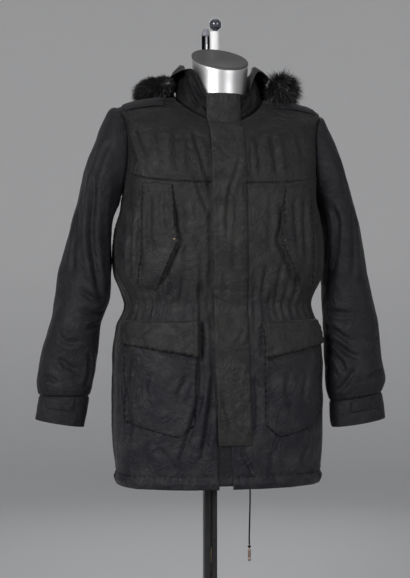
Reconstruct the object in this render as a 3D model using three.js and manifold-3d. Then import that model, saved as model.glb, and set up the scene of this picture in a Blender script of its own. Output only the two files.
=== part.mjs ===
// A parka worn by a limbless dress form on a pole, in millimetres, +Z up, front towards -Y.
// Left and right are the wearer's: the right side of the parka lies at -X.
import * as THREE from "three";
import { mergeVertices } from "three/addons/utils/BufferGeometryUtils.js";
import Module from "manifold-3d";

const wasm = await Module();
wasm.setup();

// Driving dimensions
const seamGap = 0.3; // between pieces that are sewn together
const clothWall = 2.4; // padded shell cloth of the body and sleeves
const patchWall = 1.8; // pockets, straps and flaps
const patchLift = 2.2; // a patch's underside above the cloth it lies on
const flapLift = 5; // a pocket flap's underside above the body cloth
const gatherPitch = 3; // columns of the body for each gather
const gatherDepth = 2.6;
const frontColumns = 18; // of each front
const backColumns = 28;
const hemCentre = 13; // the storm flap's middle at its foot, in x
const rightEdgeTuck = 12; // how far the right front reaches under the storm flap

const fabric = { color: 0x34353a, roughness: 0.62, metalness: 0 };
const warmFabric = { color: 0x36352f, roughness: 0.58, metalness: 0 };
const furLook = { color: 0x0b0b0c, roughness: 0.95, metalness: 0 };
const steelLook = { color: 0xb9bcc2, roughness: 0.28, metalness: 1 };
const blackLook = { color: 0x0c0c0e, roughness: 0.35, metalness: 0.3 };
const brassLook = { color: 0x8d7648, roughness: 0.4, metalness: 1 };
const capLook = { color: 0x3a3d44, roughness: 0.3, metalness: 0.6 };
const formLook = { color: 0x9a9da2, roughness: 0.5, metalness: 0.1 };

// The body's level sections from hem to neckline: heights of the section at the front, side and
// back, half its width, its depth ahead of and behind the middle, and how square its corners are.
const bodyRows = [
  { front: 655, side: 655, back: 655, half: 219, ahead: 131, behind: 130, square: 2.6 },
  { front: 668, side: 668, back: 668, half: 223, ahead: 134, behind: 133, square: 2.6 },
  { front: 682, side: 682, back: 682, half: 219, ahead: 131, behind: 130, square: 2.6 },
  { front: 740, side: 740, back: 740, half: 224, ahead: 135, behind: 133, square: 2.6 },
  { front: 830, side: 830, back: 830, half: 225, ahead: 138, behind: 135, square: 2.6 },
  { front: 925, side: 925, back: 925, half: 223, ahead: 138, behind: 134, square: 2.6 },
  { front: 985, side: 985, back: 985, half: 215, ahead: 134, behind: 128, square: 2.6 },
  { front: 1012, side: 1012, back: 1012, half: 205, ahead: 128, behind: 119, square: 2.6 },
  { front: 1034, side: 1034, back: 1034, half: 199, ahead: 124, behind: 114, square: 2.6 },
  { front: 1058, side: 1058, back: 1058, half: 207, ahead: 129, behind: 120, square: 2.6 },
  { front: 1095, side: 1095, back: 1095, half: 223, ahead: 138, behind: 130, square: 2.7 },
  { front: 1145, side: 1145, back: 1145, half: 226, ahead: 142, behind: 134, square: 2.8 },
  { front: 1195, side: 1195, back: 1195, half: 221, ahead: 142, behind: 136, square: 2.9 },
  { front: 1242, side: 1242, back: 1245, half: 210, ahead: 140, behind: 138, square: 3 },
  { front: 1284, side: 1318, back: 1318, half: 206, ahead: 138, behind: 139, square: 3.2 },
  { front: 1326, side: 1358, back: 1362, half: 206, ahead: 133, behind: 137, square: 3.2 },
  { front: 1360, side: 1400, back: 1406, half: 209, ahead: 123, behind: 132, square: 3 },
  { front: 1382, side: 1432, back: 1442, half: 214, ahead: 113, behind: 126, square: 2.7 },
  { front: 1392, side: 1450, back: 1464, half: 217, ahead: 105, behind: 120, square: 2.4 },
  { front: 1400, side: 1464, back: 1476, half: 172, ahead: 96, behind: 116, square: 2.2 },
  { front: 1413, side: 1476, back: 1492, half: 96, ahead: 80, behind: 108, square: 2 },
];
const yokeRow = 14; // where the front yoke begins
const neckRow = bodyRows.length - 1;

// Sections across a sleeve, given for the right arm: the outer and the inner edge in the front
// view (distance from the middle, height), the middle's y and half the depth.
const rightSleeveRows = [
  { outer: [172, 1444], inner: [172, 1270], middle: 6, depth: 66, fold: 0 },
  { outer: [224, 1451], inner: [205, 1254], middle: 5, depth: 74, fold: 0 },
  { outer: [245, 1424], inner: [216, 1238], middle: 4, depth: 75, fold: 0.4 },
  { outer: [264, 1380], inner: [225, 1216], middle: 3, depth: 75, fold: 0.8 },
  { outer: [282, 1328], inner: [231, 1190], middle: 2, depth: 74, fold: 0.8 },
  { outer: [300, 1264], inner: [232, 1150], middle: 1, depth: 72, fold: 0.8 },
  { outer: [318, 1188], inner: [231, 1098], middle: 0, depth: 69, fold: 0.5 },
  { outer: [336, 1108], inner: [233, 1046], middle: -2, depth: 66, fold: 1 },
  { outer: [352, 1034], inner: [250, 998], middle: -5, depth: 63, fold: 1 },
  { outer: [367, 972], inner: [257, 952], middle: -10, depth: 60, fold: 1 },
  { outer: [379, 922], inner: [264, 904], middle: -15, depth: 58, fold: 0.9 },
  { outer: [387, 873], inner: [271, 864], middle: -21, depth: 55, fold: 0.5 },
  { outer: [381, 846], inner: [278, 844], middle: -25, depth: 46, fold: 0 },
];
const leftSleeveRows = [
  { outer: [172, 1436], inner: [172, 1270], middle: 6, depth: 66, fold: 0 },
  { outer: [221, 1444], inner: [205, 1254], middle: 5, depth: 74, fold: 0 },
  { outer: [239, 1416], inner: [216, 1238], middle: 5, depth: 75, fold: 0.4 },
  { outer: [259, 1370], inner: [225, 1216], middle: 5, depth: 75, fold: 0.8 },
  { outer: [277, 1318], inner: [231, 1186], middle: 5, depth: 75, fold: 0.8 },
  { outer: [296, 1254], inner: [232, 1146], middle: 5, depth: 73, fold: 0.8 },
  { outer: [314, 1182], inner: [231, 1098], middle: 4, depth: 70, fold: 0.4 },
  { outer: [330, 1102], inner: [232, 1046], middle: 2, depth: 66, fold: 0.5 },
  { outer: [344, 1030], inner: [233, 1000], middle: -1, depth: 62, fold: 0.8 },
  { outer: [352, 968], inner: [234, 952], middle: -6, depth: 59, fold: 0.6 },
  { outer: [359, 918], inner: [234, 904], middle: -11, depth: 57, fold: 0.6 },
  { outer: [365, 873], inner: [235, 856], middle: -16, depth: 54, fold: 0.4 },
  { outer: [356, 844], inner: [243, 825], middle: -20, depth: 46, fold: 0 },
];
const rightCuffRows = [
  { outer: [380, 845], inner: [279, 843], middle: -25, depth: 45 },
  { outer: [386, 822], inner: [282, 812], middle: -27, depth: 43 },
  { outer: [390, 796], inner: [289, 779], middle: -29, depth: 41 },
];
const leftCuffRows = [
  { outer: [356, 843], inner: [243, 824], middle: -20, depth: 45 },
  { outer: [361, 816], inner: [242, 796], middle: -23, depth: 43 },
  { outer: [363, 788], inner: [245, 769], middle: -26, depth: 41 },
];
const sleeveSides = 20;
const sleeveFold = 4.2; // height of the largest sleeve folds

// The hood from the back (turn 0) to the front (turn 180), in planes through the neck's middle:
// distance and height of its root, its crest and two places where it falls outwards.
const hoodRows = [
  { turn: 0, root: [94, 1493], crest: [103, 1524], fall: [140, 1420], low: [170, 1286] },
  { turn: 24, root: [94, 1491.6], crest: [104, 1526], fall: [150, 1420], low: [182, 1292] },
  { turn: 36, root: [94.4, 1490.2], crest: [102, 1528], fall: [156, 1428], low: [196, 1312] },
  { turn: 48, root: [95, 1488], crest: [98, 1531], fall: [134, 1486], low: [200, 1420] },
  { turn: 60, root: [95.5, 1485], crest: [92, 1536], fall: [114, 1514], low: [134, 1494] },
  { turn: 72, root: [96, 1482], crest: [85, 1541], fall: [99, 1520], low: [111, 1500] },
  { turn: 90, root: [96, 1478.2], crest: [78, 1547], fall: [86, 1530], low: [95, 1516] },
  { turn: 110, root: [95, 1468.5], crest: [80, 1515], fall: [79, 1542], low: [92, 1540] },
  { turn: 130, root: [94, 1448], crest: [87, 1478], fall: [83, 1500], low: [81, 1520] },
  { turn: 155, root: [94, 1426], crest: [89, 1443], fall: [86, 1456], low: [85, 1466] },
  { turn: 180, root: [94, 1414], crest: [90, 1431], fall: [88, 1446], low: [87, 1460] },
];
// The hood's edge at the same turns. Up to the fur's end it only says from which side the cloth
// meets the fur.
const hoodEdges = [
  [200, 1440], [200, 1440], [198, 1442], [163, 1449], [139, 1474], [122, 1500], [103, 1500],
  [104, 1522], [82, 1534], [84, 1475], [85, 1473],
];
hoodRows.forEach((row, r) => (row.edge = hoodEdges[r]));
// The share of the hood's height that is left at two turns of its front, on the left side.
const leftFrontHeight = { 132: 0.48, 144: 0.65 };
const neckMiddle = 14; // y of the neckline's middle
const hoodSteps = 30; // around the neck
const hoodCourses = 9; // from root to edge
const rootLift = 0.8; // from the neckline to the hood

// The fur of the hood's opening, from behind the neck to beside it: distance, height, radius.
const furRows = [
  { turn: 0, out: 200, z: 1484, radius: 30 },
  { turn: 30, out: 197, z: 1488, radius: 30 },
  { turn: 55, out: 176, z: 1498, radius: 31 },
  { turn: 75, out: 152, z: 1510, radius: 33 },
  { turn: 92, out: 141, z: 1512, radius: 35 },
  { turn: 104, out: 137, z: 1512, radius: 30 },
  { turn: 112, out: 135, z: 1512, radius: 16 },
];
const furSides = 10;
// On the right side the fur lies nearer the neck, lower and thinner, from one turn to another.
const rightFur = { from: 55, to: 92, inward: 11, lower: 9, thinner: 0.25 };

// Solids from rings and nets of points

const point = (x, y, z) => new THREE.Vector3(x, y, z);
const mix = (a, b, k) => a + (b - a) * k;
const wrap = (n, size) => ((n % size) + size) % size;
const smooth = (from, to, value) => THREE.MathUtils.smoothstep(value, from, to);

function signedVolume(points, faces) {
  let volume = 0;
  for (const [a, b, c] of faces) {
    volume += points[a].dot(points[b].clone().cross(points[c])) / 6;
  }
  return volume;
}

// A closed geometry whose faces point outwards.
function geometryOf(points, faces) {
  const outward = signedVolume(points, faces) > 0;
  const index = faces.flatMap(([a, b, c]) => (outward ? [a, b, c] : [a, c, b]));
  const geometry = new THREE.BufferGeometry().setFromPoints(points);
  geometry.setIndex(index);
  return geometry;
}

const quad = (a, b, c, d) => [[a, b, c], [a, c, d]];

// Rings joined in order; the ends are capped, or the last ring joins the first one.
function loft(rings, joinEnds) {
  const sides = rings[0].length;
  const points = rings.flat();
  const faces = [];
  const bands = joinEnds ? rings.length : rings.length - 1;
  for (let r = 0; r < bands; r++) {
    const low = r * sides;
    const high = wrap(r + 1, rings.length) * sides;
    for (let s = 0; s < sides; s++) {
      const t = wrap(s + 1, sides);
      faces.push(...quad(low + s, low + t, high + t, high + s));
    }
  }
  if (!joinEnds) {
    for (const [ring, first] of [[rings[0], 0], [rings.at(-1), (rings.length - 1) * sides]]) {
      const middle = ring.reduce((sum, p) => sum.add(p), point(0, 0, 0)).divideScalar(sides);
      points.push(middle);
      for (let s = 0; s < sides; s++) {
        const edge = [first + s, first + wrap(s + 1, sides), points.length - 1];
        faces.push(first ? edge : edge.reverse());
      }
    }
  }
  return geometryOf(points, faces);
}

// A wall between two nets of points of the same size; wrapped nets close round their columns.
function wall(over, under, wrapped = false) {
  const rows = over.length;
  const columns = over[0].length;
  const points = [...over.flat(), ...under.flat()];
  const top = (r, c) => r * columns + wrap(c, columns);
  const low = (r, c) => rows * columns + top(r, c);
  const faces = [];
  const spans = wrapped ? columns : columns - 1;
  for (let r = 0; r < rows - 1; r++) {
    for (let c = 0; c < spans; c++) {
      faces.push(...quad(top(r, c), top(r, c + 1), top(r + 1, c + 1), top(r + 1, c)));
      faces.push(...quad(low(r, c), low(r + 1, c), low(r + 1, c + 1), low(r, c + 1)));
    }
    if (!wrapped) {
      const last = columns - 1;
      faces.push(...quad(top(r, 0), top(r + 1, 0), low(r + 1, 0), low(r, 0)));
      faces.push(...quad(top(r, last), low(r, last), low(r + 1, last), top(r + 1, last)));
    }
  }
  for (let c = 0; c < spans; c++) {
    const last = rows - 1;
    faces.push(...quad(top(0, c), low(0, c), low(0, c + 1), top(0, c + 1)));
    faces.push(...quad(top(last, c), top(last, c + 1), low(last, c + 1), low(last, c)));
  }
  return geometryOf(points, faces);
}

// The direction across the surface at each point of a net, away from its middle.
function netNormals(net, wrapped) {
  const rows = net.length;
  const columns = net[0].length;
  const row = (r) => THREE.MathUtils.clamp(r, 0, rows - 1);
  const column = (c) => (wrapped ? wrap(c, columns) : THREE.MathUtils.clamp(c, 0, columns - 1));
  const normals = net.map((line, r) =>
    line.map((p, c) => {
      const along = net[row(r + 1)][c].clone().sub(net[row(r - 1)][c]);
      const across = net[r][column(c + 1)].clone().sub(net[r][column(c - 1)]);
      return across.cross(along).normalize();
    }),
  );
  const middle = net.flat().reduce((sum, p) => sum.add(p), point(0, 0, 0));
  middle.divideScalar(rows * columns);
  let outward = 0;
  net.forEach((line, r) =>
    line.forEach((p, c) => (outward += p.clone().sub(middle).dot(normals[r][c]))),
  );
  return outward < 0 ? normals.map((line) => line.map((n) => n.negate())) : normals;
}

const moved = (net, normals, by) =>
  net.map((row, r) => row.map((p, c) => p.clone().addScaledVector(normals[r][c], by)));

// Cuts and joins

function solidOf(geometry) {
  const merged = mergeVertices(geometry, 1e-4);
  const vertProperties = new Float32Array(merged.attributes.position.array);
  const triVerts = new Uint32Array(merged.index.array);
  return new wasm.Manifold(new wasm.Mesh({ numProp: 3, vertProperties, triVerts }));
}

function geometryFrom(solid) {
  const mesh = solid.getMesh();
  const positions = new THREE.BufferAttribute(mesh.vertProperties, mesh.numProp);
  const geometry = new THREE.BufferGeometry().setAttribute("position", positions);
  return geometry.setIndex(new THREE.BufferAttribute(mesh.triVerts, 1));
}

const cut = (geometry, ...tools) =>
  geometryFrom(tools.reduce((solid, tool) => solid.subtract(solidOf(tool)), solidOf(geometry)));

const group = new THREE.Group();

function addPiece(name, geometry, look) {
  geometry.deleteAttribute("normal");
  geometry.deleteAttribute("uv");
  const mesh = new THREE.Mesh(geometry, new THREE.MeshStandardMaterial(look));
  mesh.name = name;
  group.add(mesh);
  return mesh;
}

// Body

const bodyColumns = backColumns + 2 * frontColumns;

function sectionRadius(row, angle) {
  const side = Math.abs(Math.cos(angle)) / row.half;
  const depth = Math.abs(Math.sin(angle)) / (Math.sin(angle) < 0 ? row.ahead : row.behind);
  return (side ** row.square + depth ** row.square) ** (-1 / row.square);
}

// Angles from the left side round the back, the right side and the front, evenly spaced along
// the cloth of the middle row.
function columnAngles() {
  const fine = 2000;
  const row = bodyRows[5];
  const halfTurn = (start, count) => {
    const lengths = [0];
    for (let i = 1; i <= fine; i++) {
      const ends = [i - 1, i].map((k) => {
        const angle = start + (Math.PI * k) / fine;
        const radius = sectionRadius(row, angle);
        return [radius * Math.cos(angle), radius * Math.sin(angle)];
      });
      lengths.push(lengths.at(-1) + Math.hypot(ends[1][0] - ends[0][0], ends[1][1] - ends[0][1]));
    }
    return Array.from({ length: count }, (_, c) => {
      const wanted = (lengths.at(-1) * c) / count;
      return start + (Math.PI * lengths.findIndex((l) => l >= wanted)) / fine;
    });
  };
  return [...halfTurn(0, backColumns), ...halfTurn(Math.PI, 2 * frontColumns)];
}

const angles = columnAngles();

// How far the cloth stands out of the plain section: gathers at the waist and below the yokes,
// and the long soft folds of the back.
function bodyFold(r, c) {
  const inFront = c > backColumns;
  const fromCentre = Math.abs(c - backColumns - frontColumns);
  const gather = [1, -0.6, -0.4][c % gatherPitch] * (0.8 + 0.2 * Math.sin(2.3 * c));
  const waist = { 6: 0.3, 7: 0.8, 8: 1, 9: 0.8, 10: 0.35 }[r] ?? 0;
  const yoke = inFront ? ({ 12: 0.35, 13: 0.8 }[r] ?? 0) : 0;
  const shown = inFront && fromCentre < 8 ? 0.25 : 1;
  let out = gatherDepth * gather * (waist * shown + (fromCentre > 3 && fromCentre < 14 ? yoke : 0));
  if (!inFront && r > 2 && r < 7) out += 3.4 * Math.sin(0.95 * c + 0.2 * r) * smooth(2, 4, r);
  if (!inFront && r > 9 && r < 15) out += 2.6 * Math.sin(0.8 * c - 0.35 * r + 1);
  return out;
}

function bodyPoint(r, c) {
  const row = bodyRows[r];
  const radius = sectionRadius(row, angles[c]);
  const x = radius * Math.cos(angles[c]);
  const y = radius * Math.sin(angles[c]);
  const ahead = y < 0;
  const rise = (Math.abs(y) / (ahead ? row.ahead : row.behind)) ** 1.4;
  const z = mix(row.side, ahead ? row.front : row.back, rise);
  const scale = 1 + bodyFold(r, c) / radius;
  return point(x * scale, y * scale, z);
}

const bodyNet = bodyRows.map((_, r) => angles.map((_, c) => bodyPoint(r, c)));
const bodyNormals = netNormals(bodyNet, true);

function blend(net, r, c) {
  const low = THREE.MathUtils.clamp(Math.floor(r), 0, neckRow - 1);
  const left = Math.floor(c);
  const corner = (dr, dc) => net[low + dr][wrap(left + dc, bodyColumns)];
  const below = corner(0, 0).clone().lerp(corner(0, 1), c - left);
  const above = corner(1, 0).clone().lerp(corner(1, 1), c - left);
  return below.lerp(above, r - low);
}

// A point of the body's cloth, or one that lies off it by lift.
function onBody(r, c, lift = 0) {
  return blend(bodyNet, r, c).addScaledVector(blend(bodyNormals, r, c).normalize(), lift);
}

function halve(low, high, isBelow) {
  for (let i = 0; i < 40; i++) {
    const middle = (low + high) / 2;
    if (isBelow(middle)) low = middle;
    else high = middle;
  }
  return low;
}

const frontMiddle = backColumns + frontColumns; // column at the front's middle
const columnAtX = (r, x) => halve(backColumns, bodyColumns, (c) => blend(bodyNet, r, c).x < x);

// The row and column of a point of the front, by its place in the front view.
function frontPlace(x, z) {
  const r = halve(0, neckRow, (row) => blend(bodyNet, row, columnAtX(row, x)).z < z);
  return [r, columnAtX(r, x)];
}

const onFront = (x, z, lift = 0) => onBody(...frontPlace(x, z), lift);

// A point of a shoulder, by its place seen from above; side is -1 on the right.
function onShoulder(side, out, y, lift) {
  const columnAtY = (r) =>
    side < 0
      ? halve(frontMiddle, backColumns / 2, (c) => blend(bodyNet, r, c).y < y)
      : halve(frontMiddle, bodyColumns + backColumns / 2, (c) => blend(bodyNet, r, c).y < y);
  const r = halve(neckRow, 17.5, (row) => Math.abs(blend(bodyNet, row, columnAtY(row)).x) < out);
  return onBody(r, columnAtY(r), lift);
}

const flapHalf = 35; // half the storm flap's width
const flapTop = 1475;
const flapFoot = 746;

// The middle of the storm flap in the front view: it leans towards the left side on its way down.
const flapMiddle = (z) => mix(0, hemCentre, Math.max(0, (flapTop - z) / (flapTop - flapFoot)) ** 1.8);
const rightEdge = (z) => flapMiddle(z) - flapHalf + rightEdgeTuck * smooth(745, 800, z);
const leftEdge = (z) => flapMiddle(z) - 6.5;

// The columns of a front between its side seam and its opening edge, at each row.
function frontColumnsAt(r, side) {
  const z = bodyRows[r].front;
  const edge = columnAtX(r, (side < 0 ? rightEdge : leftEdge)(z));
  const seam = side < 0 ? backColumns : bodyColumns;
  const whole = frontColumns - (side < 0 ? 3 : 1);
  const inner = Array.from({ length: whole + 1 }, (_, k) => seam - side * k);
  if (r > yokeRow) {
    const lowest = frontColumnsAt(yokeRow, side);
    const span = lowest.at(-1) - seam;
    return lowest.map((c) => seam + ((c - seam) / span) * (edge - seam));
  }
  return [...inner, edge];
}

function closeUp(net, edges) {
  const half = seamGap / 2;
  const toward = (p, q) => p.addScaledVector(q.clone().sub(p).normalize(), half);
  const rows = net.length - 1;
  const columns = net[0].length - 1;
  net.forEach((line) => {
    if (edges.first) toward(line[0], line[1]);
    if (edges.last) toward(line[columns], line[columns - 1]);
  });
  net[0].forEach((p, c) => edges.foot && toward(p, net[1][c]));
  net[rows].forEach((p, c) => edges.head && toward(p, net[rows - 1][c]));
  return net;
}

function bodyPanel(firstRow, lastRow, columnsAt, edges) {
  const rows = Array.from({ length: lastRow - firstRow + 1 }, (_, k) => firstRow + k);
  const net = (lift) => closeUp(rows.map((r) => columnsAt(r).map((c) => onBody(r, c, lift))), edges);
  return wall(net(0), net(-clothWall));
}

// Sleeves and cuffs

function sleeveRing(row, side, r, phase) {
  const [outerX, outerZ] = row.outer;
  const [innerX, innerZ] = row.inner;
  return Array.from({ length: sleeveSides }, (_, s) => {
    const angle = (2 * Math.PI * s) / sleeveSides;
    const roundOff = (value) => Math.sign(value) * Math.abs(value) ** 0.88;
    const wave = 0.6 * Math.sin(2.2 * r + 2 * Math.sin(angle) + phase)
      + 0.4 * Math.sin(3 * angle + 1.3 * r + phase);
    const outward = 0.5 + 0.5 * Math.cos(angle);
    const fold = (row.fold ?? 0) * sleeveFold * wave * (0.25 + 0.75 * outward);
    const across = 0.5 + (0.5 + fold / 120) * roundOff(Math.cos(angle));
    const y = row.middle - (row.depth + fold) * roundOff(Math.sin(angle));
    return point(side * mix(innerX, outerX, across), y, mix(innerZ, outerZ, across));
  });
}

const sleeveNet = (rows, side) => rows.map((row, r) => sleeveRing(row, side, r, side));

// A closed solid of the body's outside, grown by lift.
function bodySolid(lift, firstRow = 0) {
  const rows = bodyRows.map((_, r) => r).filter((r) => r >= firstRow);
  return loft(rows.map((r) => angles.map((_, c) => onBody(r, c, lift))), false);
}

function buildSleeve(rows, side) {
  const net = sleeveNet(rows, side);
  const inside = moved(net, netNormals(net, true), -clothWall);
  const hollow = loft(inside.slice(0, 5), false);
  const sleeve = cut(wall(net, inside, true), bodySolid(seamGap + 0.1));
  return { hollow, sleeve };
}

// A cuff hangs from the sleeve's last section.
function buildCuff(sleeveRows, rows, side) {
  const last = sleeveRows.at(-1);
  const lower = ([x, z]) => [x, z - seamGap - 0.1];
  const top = { ...last, outer: lower(last.outer), inner: lower(last.inner) };
  const net = sleeveNet([top, ...rows.slice(1)], side);
  const normals = netNormals(net, true);
  const tab = tabNet(net, normals);
  return { cuff: wall(net, moved(net, normals, -clothWall), true), tab };
}

// The small tab on the front of a cuff, over a few sides of its upper half.
function tabNet(net, normals) {
  const at = (r, s, lift) => {
    const upper = net[0][s].clone().lerp(net[1][s], r);
    return upper.addScaledVector(normals[0][s].clone().lerp(normals[1][s], r).normalize(), lift);
  };
  const layer = (lift) => [0.25, 1].map((r) => [3, 4, 5, 6].map((s) => at(r, s, lift)));
  return wall(layer(1 + patchWall), layer(1));
}

const arms = {
  right: { side: -1, rows: rightSleeveRows, cuffs: rightCuffRows },
  left: { side: 1, rows: leftSleeveRows, cuffs: leftCuffRows },
};
const hollows = [];
for (const [name, arm] of Object.entries(arms)) {
  const { hollow, sleeve } = buildSleeve(arm.rows, arm.side);
  const { cuff, tab } = buildCuff(arm.rows, arm.cuffs, arm.side);
  hollows.push(hollow);
  addPiece(`sleeve_${name}`, sleeve, fabric);
  addPiece(`cuff_${name}`, cuff, fabric);
  addPiece(`cuff_tab_${name}`, tab, fabric);
}

// Body panels, with the armholes cut out of them

const panelEdges = { first: true, last: false };
for (const [name, arm] of Object.entries(arms)) {
  const columnsAt = (r) => frontColumnsAt(r, arm.side);
  const front = bodyPanel(0, yokeRow, columnsAt, { ...panelEdges, head: true });
  const yoke = bodyPanel(yokeRow, neckRow, columnsAt, { ...panelEdges, foot: true });
  addPiece(`front_${name}`, cut(front, ...hollows), warmFabric);
  addPiece(`yoke_${name}`, cut(yoke, ...hollows), warmFabric);
}
const backColumnsAt = () => Array.from({ length: backColumns + 1 }, (_, c) => c);
const back = bodyPanel(0, neckRow, backColumnsAt, { first: true, last: true });
addPiece("back", cut(back, ...hollows), fabric);

// Patches on the fronts

// A net of body rows and columns between control points given by their places in the front view.
function spread(control, rowSteps, columnSteps) {
  const stops = control.map((line) => line.map(([x, z]) => frontPlace(x, z)));
  const rows = stops.length - 1;
  const columns = stops[0].length - 1;
  const net = [];
  for (let i = 0; i <= rows * rowSteps; i++) {
    const r = Math.min(Math.floor(i / rowSteps), rows - 1);
    const down = i / rowSteps - r;
    net.push([]);
    for (let j = 0; j <= columns * columnSteps; j++) {
      const c = Math.min(Math.floor(j / columnSteps), columns - 1);
      const across = j / columnSteps - c;
      const upper = stops[r][c].map((value, k) => mix(value, stops[r][c + 1][k], across));
      const lower = stops[r + 1][c].map((value, k) => mix(value, stops[r + 1][c + 1][k], across));
      net[i].push(upper.map((value, k) => mix(value, lower[k], down)));
    }
  }
  return net;
}

// A patch whose underside lies off the body by liftAt(row share, column share).
function patch(control, rowSteps, columnSteps, liftAt) {
  const places = spread(control, rowSteps, columnSteps);
  const layer = (extra) =>
    places.map((line, i) =>
      line.map(([r, c], j) => {
        const lift = liftAt(i / (places.length - 1), j / (line.length - 1));
        return onBody(r, c, lift + extra);
      }),
    );
  return wall(layer(patchWall), layer(0));
}

const patches = {
  pocket_right: [[[-203, 970], [-135, 970], [-66, 970]], [[-206, 793], [-103, 762], [-69, 789]]],
  pocket_left: [[[74, 970], [140, 970], [202, 970]], [[75, 788], [108, 759], [204, 787]]],
};
const pocketFlaps = {
  pocket_flap_right: [[[-202, 1000], [-54, 1001]], [[-209, 954], [-59, 927]]],
  pocket_flap_left: [[[69, 998], [199, 1002]], [[76, 924], [209, 953]]],
};
const chestPockets = {
  chest_pocket_right: [
    [[-174, 1284], [-116, 1280]],
    [[-175, 1242], [-113, 1242]],
    [[-177, 1195], [-111, 1195]],
    [[-178, 1166], [-104, 1166]],
    [[-179, 1145], [-113, 1145]],
    [[-181, 1095], [-134, 1095]],
    [[-182, 1074], [-146, 1065]],
  ],
  chest_pocket_left: [
    [[119, 1276], [179, 1282]],
    [[115, 1242], [180, 1242]],
    [[112, 1195], [182, 1195]],
    [[106, 1166], [183, 1166]],
    [[117, 1145], [183, 1145]],
    [[142, 1095], [184, 1095]],
    [[158, 1065], [185, 1072]],
  ],
};

for (const [name, control] of Object.entries(patches)) {
  addPiece(name, patch(control, 4, 5, () => patchLift), warmFabric);
}
for (const [name, control] of Object.entries(pocketFlaps)) {
  const liftAt = (down) => mix(patchLift, flapLift, Math.min(1, down * 3));
  addPiece(name, patch(control, 3, 11, liftAt), warmFabric);
}
for (const [name, control] of Object.entries(chestPockets)) {
  const openRight = name.endsWith("right");
  const liftAt = (down, across) => patchLift + 3 * smooth(0.4, 1, openRight ? across : 1 - across) * down;
  addPiece(name, patch(control, 1, 5, liftAt), warmFabric);
}

// A flat snap head on a chest pocket's corner.
const snapRadius = 5;
for (const [name, x] of [["snap_right", -112], ["snap_left", 114]]) {
  const height = 1.5;
  const cornerLift = patchLift + patchWall + 1.5;
  const seat = onFront(x, 1167, cornerLift + 0.3 + height / 2);
  const facing = seat.clone().sub(onFront(x, 1167)).normalize();
  const disc = new THREE.CylinderGeometry(snapRadius, snapRadius, height, 12);
  disc.applyQuaternion(new THREE.Quaternion().setFromUnitVectors(point(0, 1, 0), facing));
  addPiece(name, disc.translate(seat.x, seat.y, seat.z), brassLook);
}

// Hood and its fur

function rowAt(rows, turn) {
  const high = Math.max(1, rows.findIndex((row) => row.turn >= turn));
  const [a, b] = [rows[high - 1], rows[high]];
  return { a, b, k: (turn - a.turn) / (b.turn - a.turn) };
}

const turnOf = (degrees) => Math.min(wrap(degrees, 360), 360 - wrap(degrees, 360));

// A point round the neck's middle: 0 degrees is behind it and 90 on its left side.
function roundNeck(degrees, out, z) {
  const angle = THREE.MathUtils.degToRad(degrees);
  return point(out * Math.sin(angle), neckMiddle + out * Math.cos(angle), z);
}

const onRight = (degrees) => wrap(degrees, 360) > 180;

function furAt(degrees) {
  const turn = turnOf(degrees);
  const { a, b, k } = rowAt(furRows, turn);
  const s = k * k * (3 - 2 * k);
  const share = onRight(degrees) ? smooth(rightFur.from, rightFur.to, turn) : 0;
  return {
    out: mix(a.out, b.out, s) - rightFur.inward * share,
    z: mix(a.z, b.z, s) - rightFur.lower * share,
    radius: mix(a.radius, b.radius, k) * (1 - rightFur.thinner * share),
  };
}

const furEnd = furRows.at(-1).turn;
const hoodWall = 2.2;
const edgeGap = 2.2; // from the middle of the hood's edge to the fur

function hoodCourse(degrees) {
  const turn = turnOf(degrees);
  const { a, b, k } = rowAt(hoodRows, turn);
  const foot = mix(a.root[1], b.root[1], k);
  const height = onRight(degrees) ? 1 : (leftFrontHeight[turn] ?? 1);
  const place = (name) => {
    const [out, z] = [0, 1].map((i) => mix(a[name][i], b[name][i], k));
    return [out, mix(foot, z, height)];
  };
  let edge = place("edge");
  if (turn <= furEnd) {
    const fur = furAt(degrees);
    const away = [edge[0] - fur.out, edge[1] - fur.z];
    const reach = (fur.radius + edgeGap) / Math.hypot(...away);
    edge = [fur.out + away[0] * reach, fur.z + away[1] * reach];
  }
  const root = place("root");
  root[1] += rootLift;
  const stops = [root, place("crest"), place("fall"), place("low"), edge];
  const curve = new THREE.CatmullRomCurve3(stops.map(([out, z]) => roundNeck(degrees, out, z)));
  return curve.getPoints(hoodCourses);
}

const hoodColumns = Array.from({ length: hoodSteps }, (_, s) => hoodCourse((360 * s) / hoodSteps));
const hoodNet = hoodColumns[0].map((_, r) => hoodColumns.map((column) => column[r]));
const hoodNormals = netNormals(hoodNet, true);
const hoodOver = moved(hoodNet, hoodNormals, hoodWall / 2);
addPiece("hood", wall(hoodOver, moved(hoodNet, hoodNormals, -hoodWall / 2), true), fabric);

function furRing(degrees) {
  const { out, z, radius } = furAt(degrees);
  return Array.from({ length: furSides }, (_, s) => {
    const angle = (2 * Math.PI * s) / furSides;
    return roundNeck(degrees, out + radius * Math.cos(angle), z + radius * Math.sin(angle));
  });
}

// The fur's sections stand in the same planes as the hood's columns, apart from its two ends.
const hoodPitch = 360 / hoodSteps;
const lastPlane = Math.floor(furEnd / hoodPitch);
const planes = Array.from({ length: 2 * lastPlane + 1 }, (_, s) => (s - lastPlane) * hoodPitch);
const furTurns = [-furEnd, ...planes, furEnd];
addPiece("fur_trim", loft(furTurns.map(furRing), false), furLook);

// A small ring sewn on at the hood's root, on the right side.
const ringRadius = 6;
const ringWire = 1.3;
const ringSeat = roundNeck(-106, 99, 1479);
const ring = new THREE.TorusGeometry(ringRadius, ringWire, 5, 12);
ring.rotateY(THREE.MathUtils.degToRad(-106));
addPiece("hood_ring", ring.translate(ringSeat.x, ringSeat.y, ringSeat.z), steelLook);

// Storm flap over the opening, from the hood's front to above the hem, and the placket under it

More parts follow.
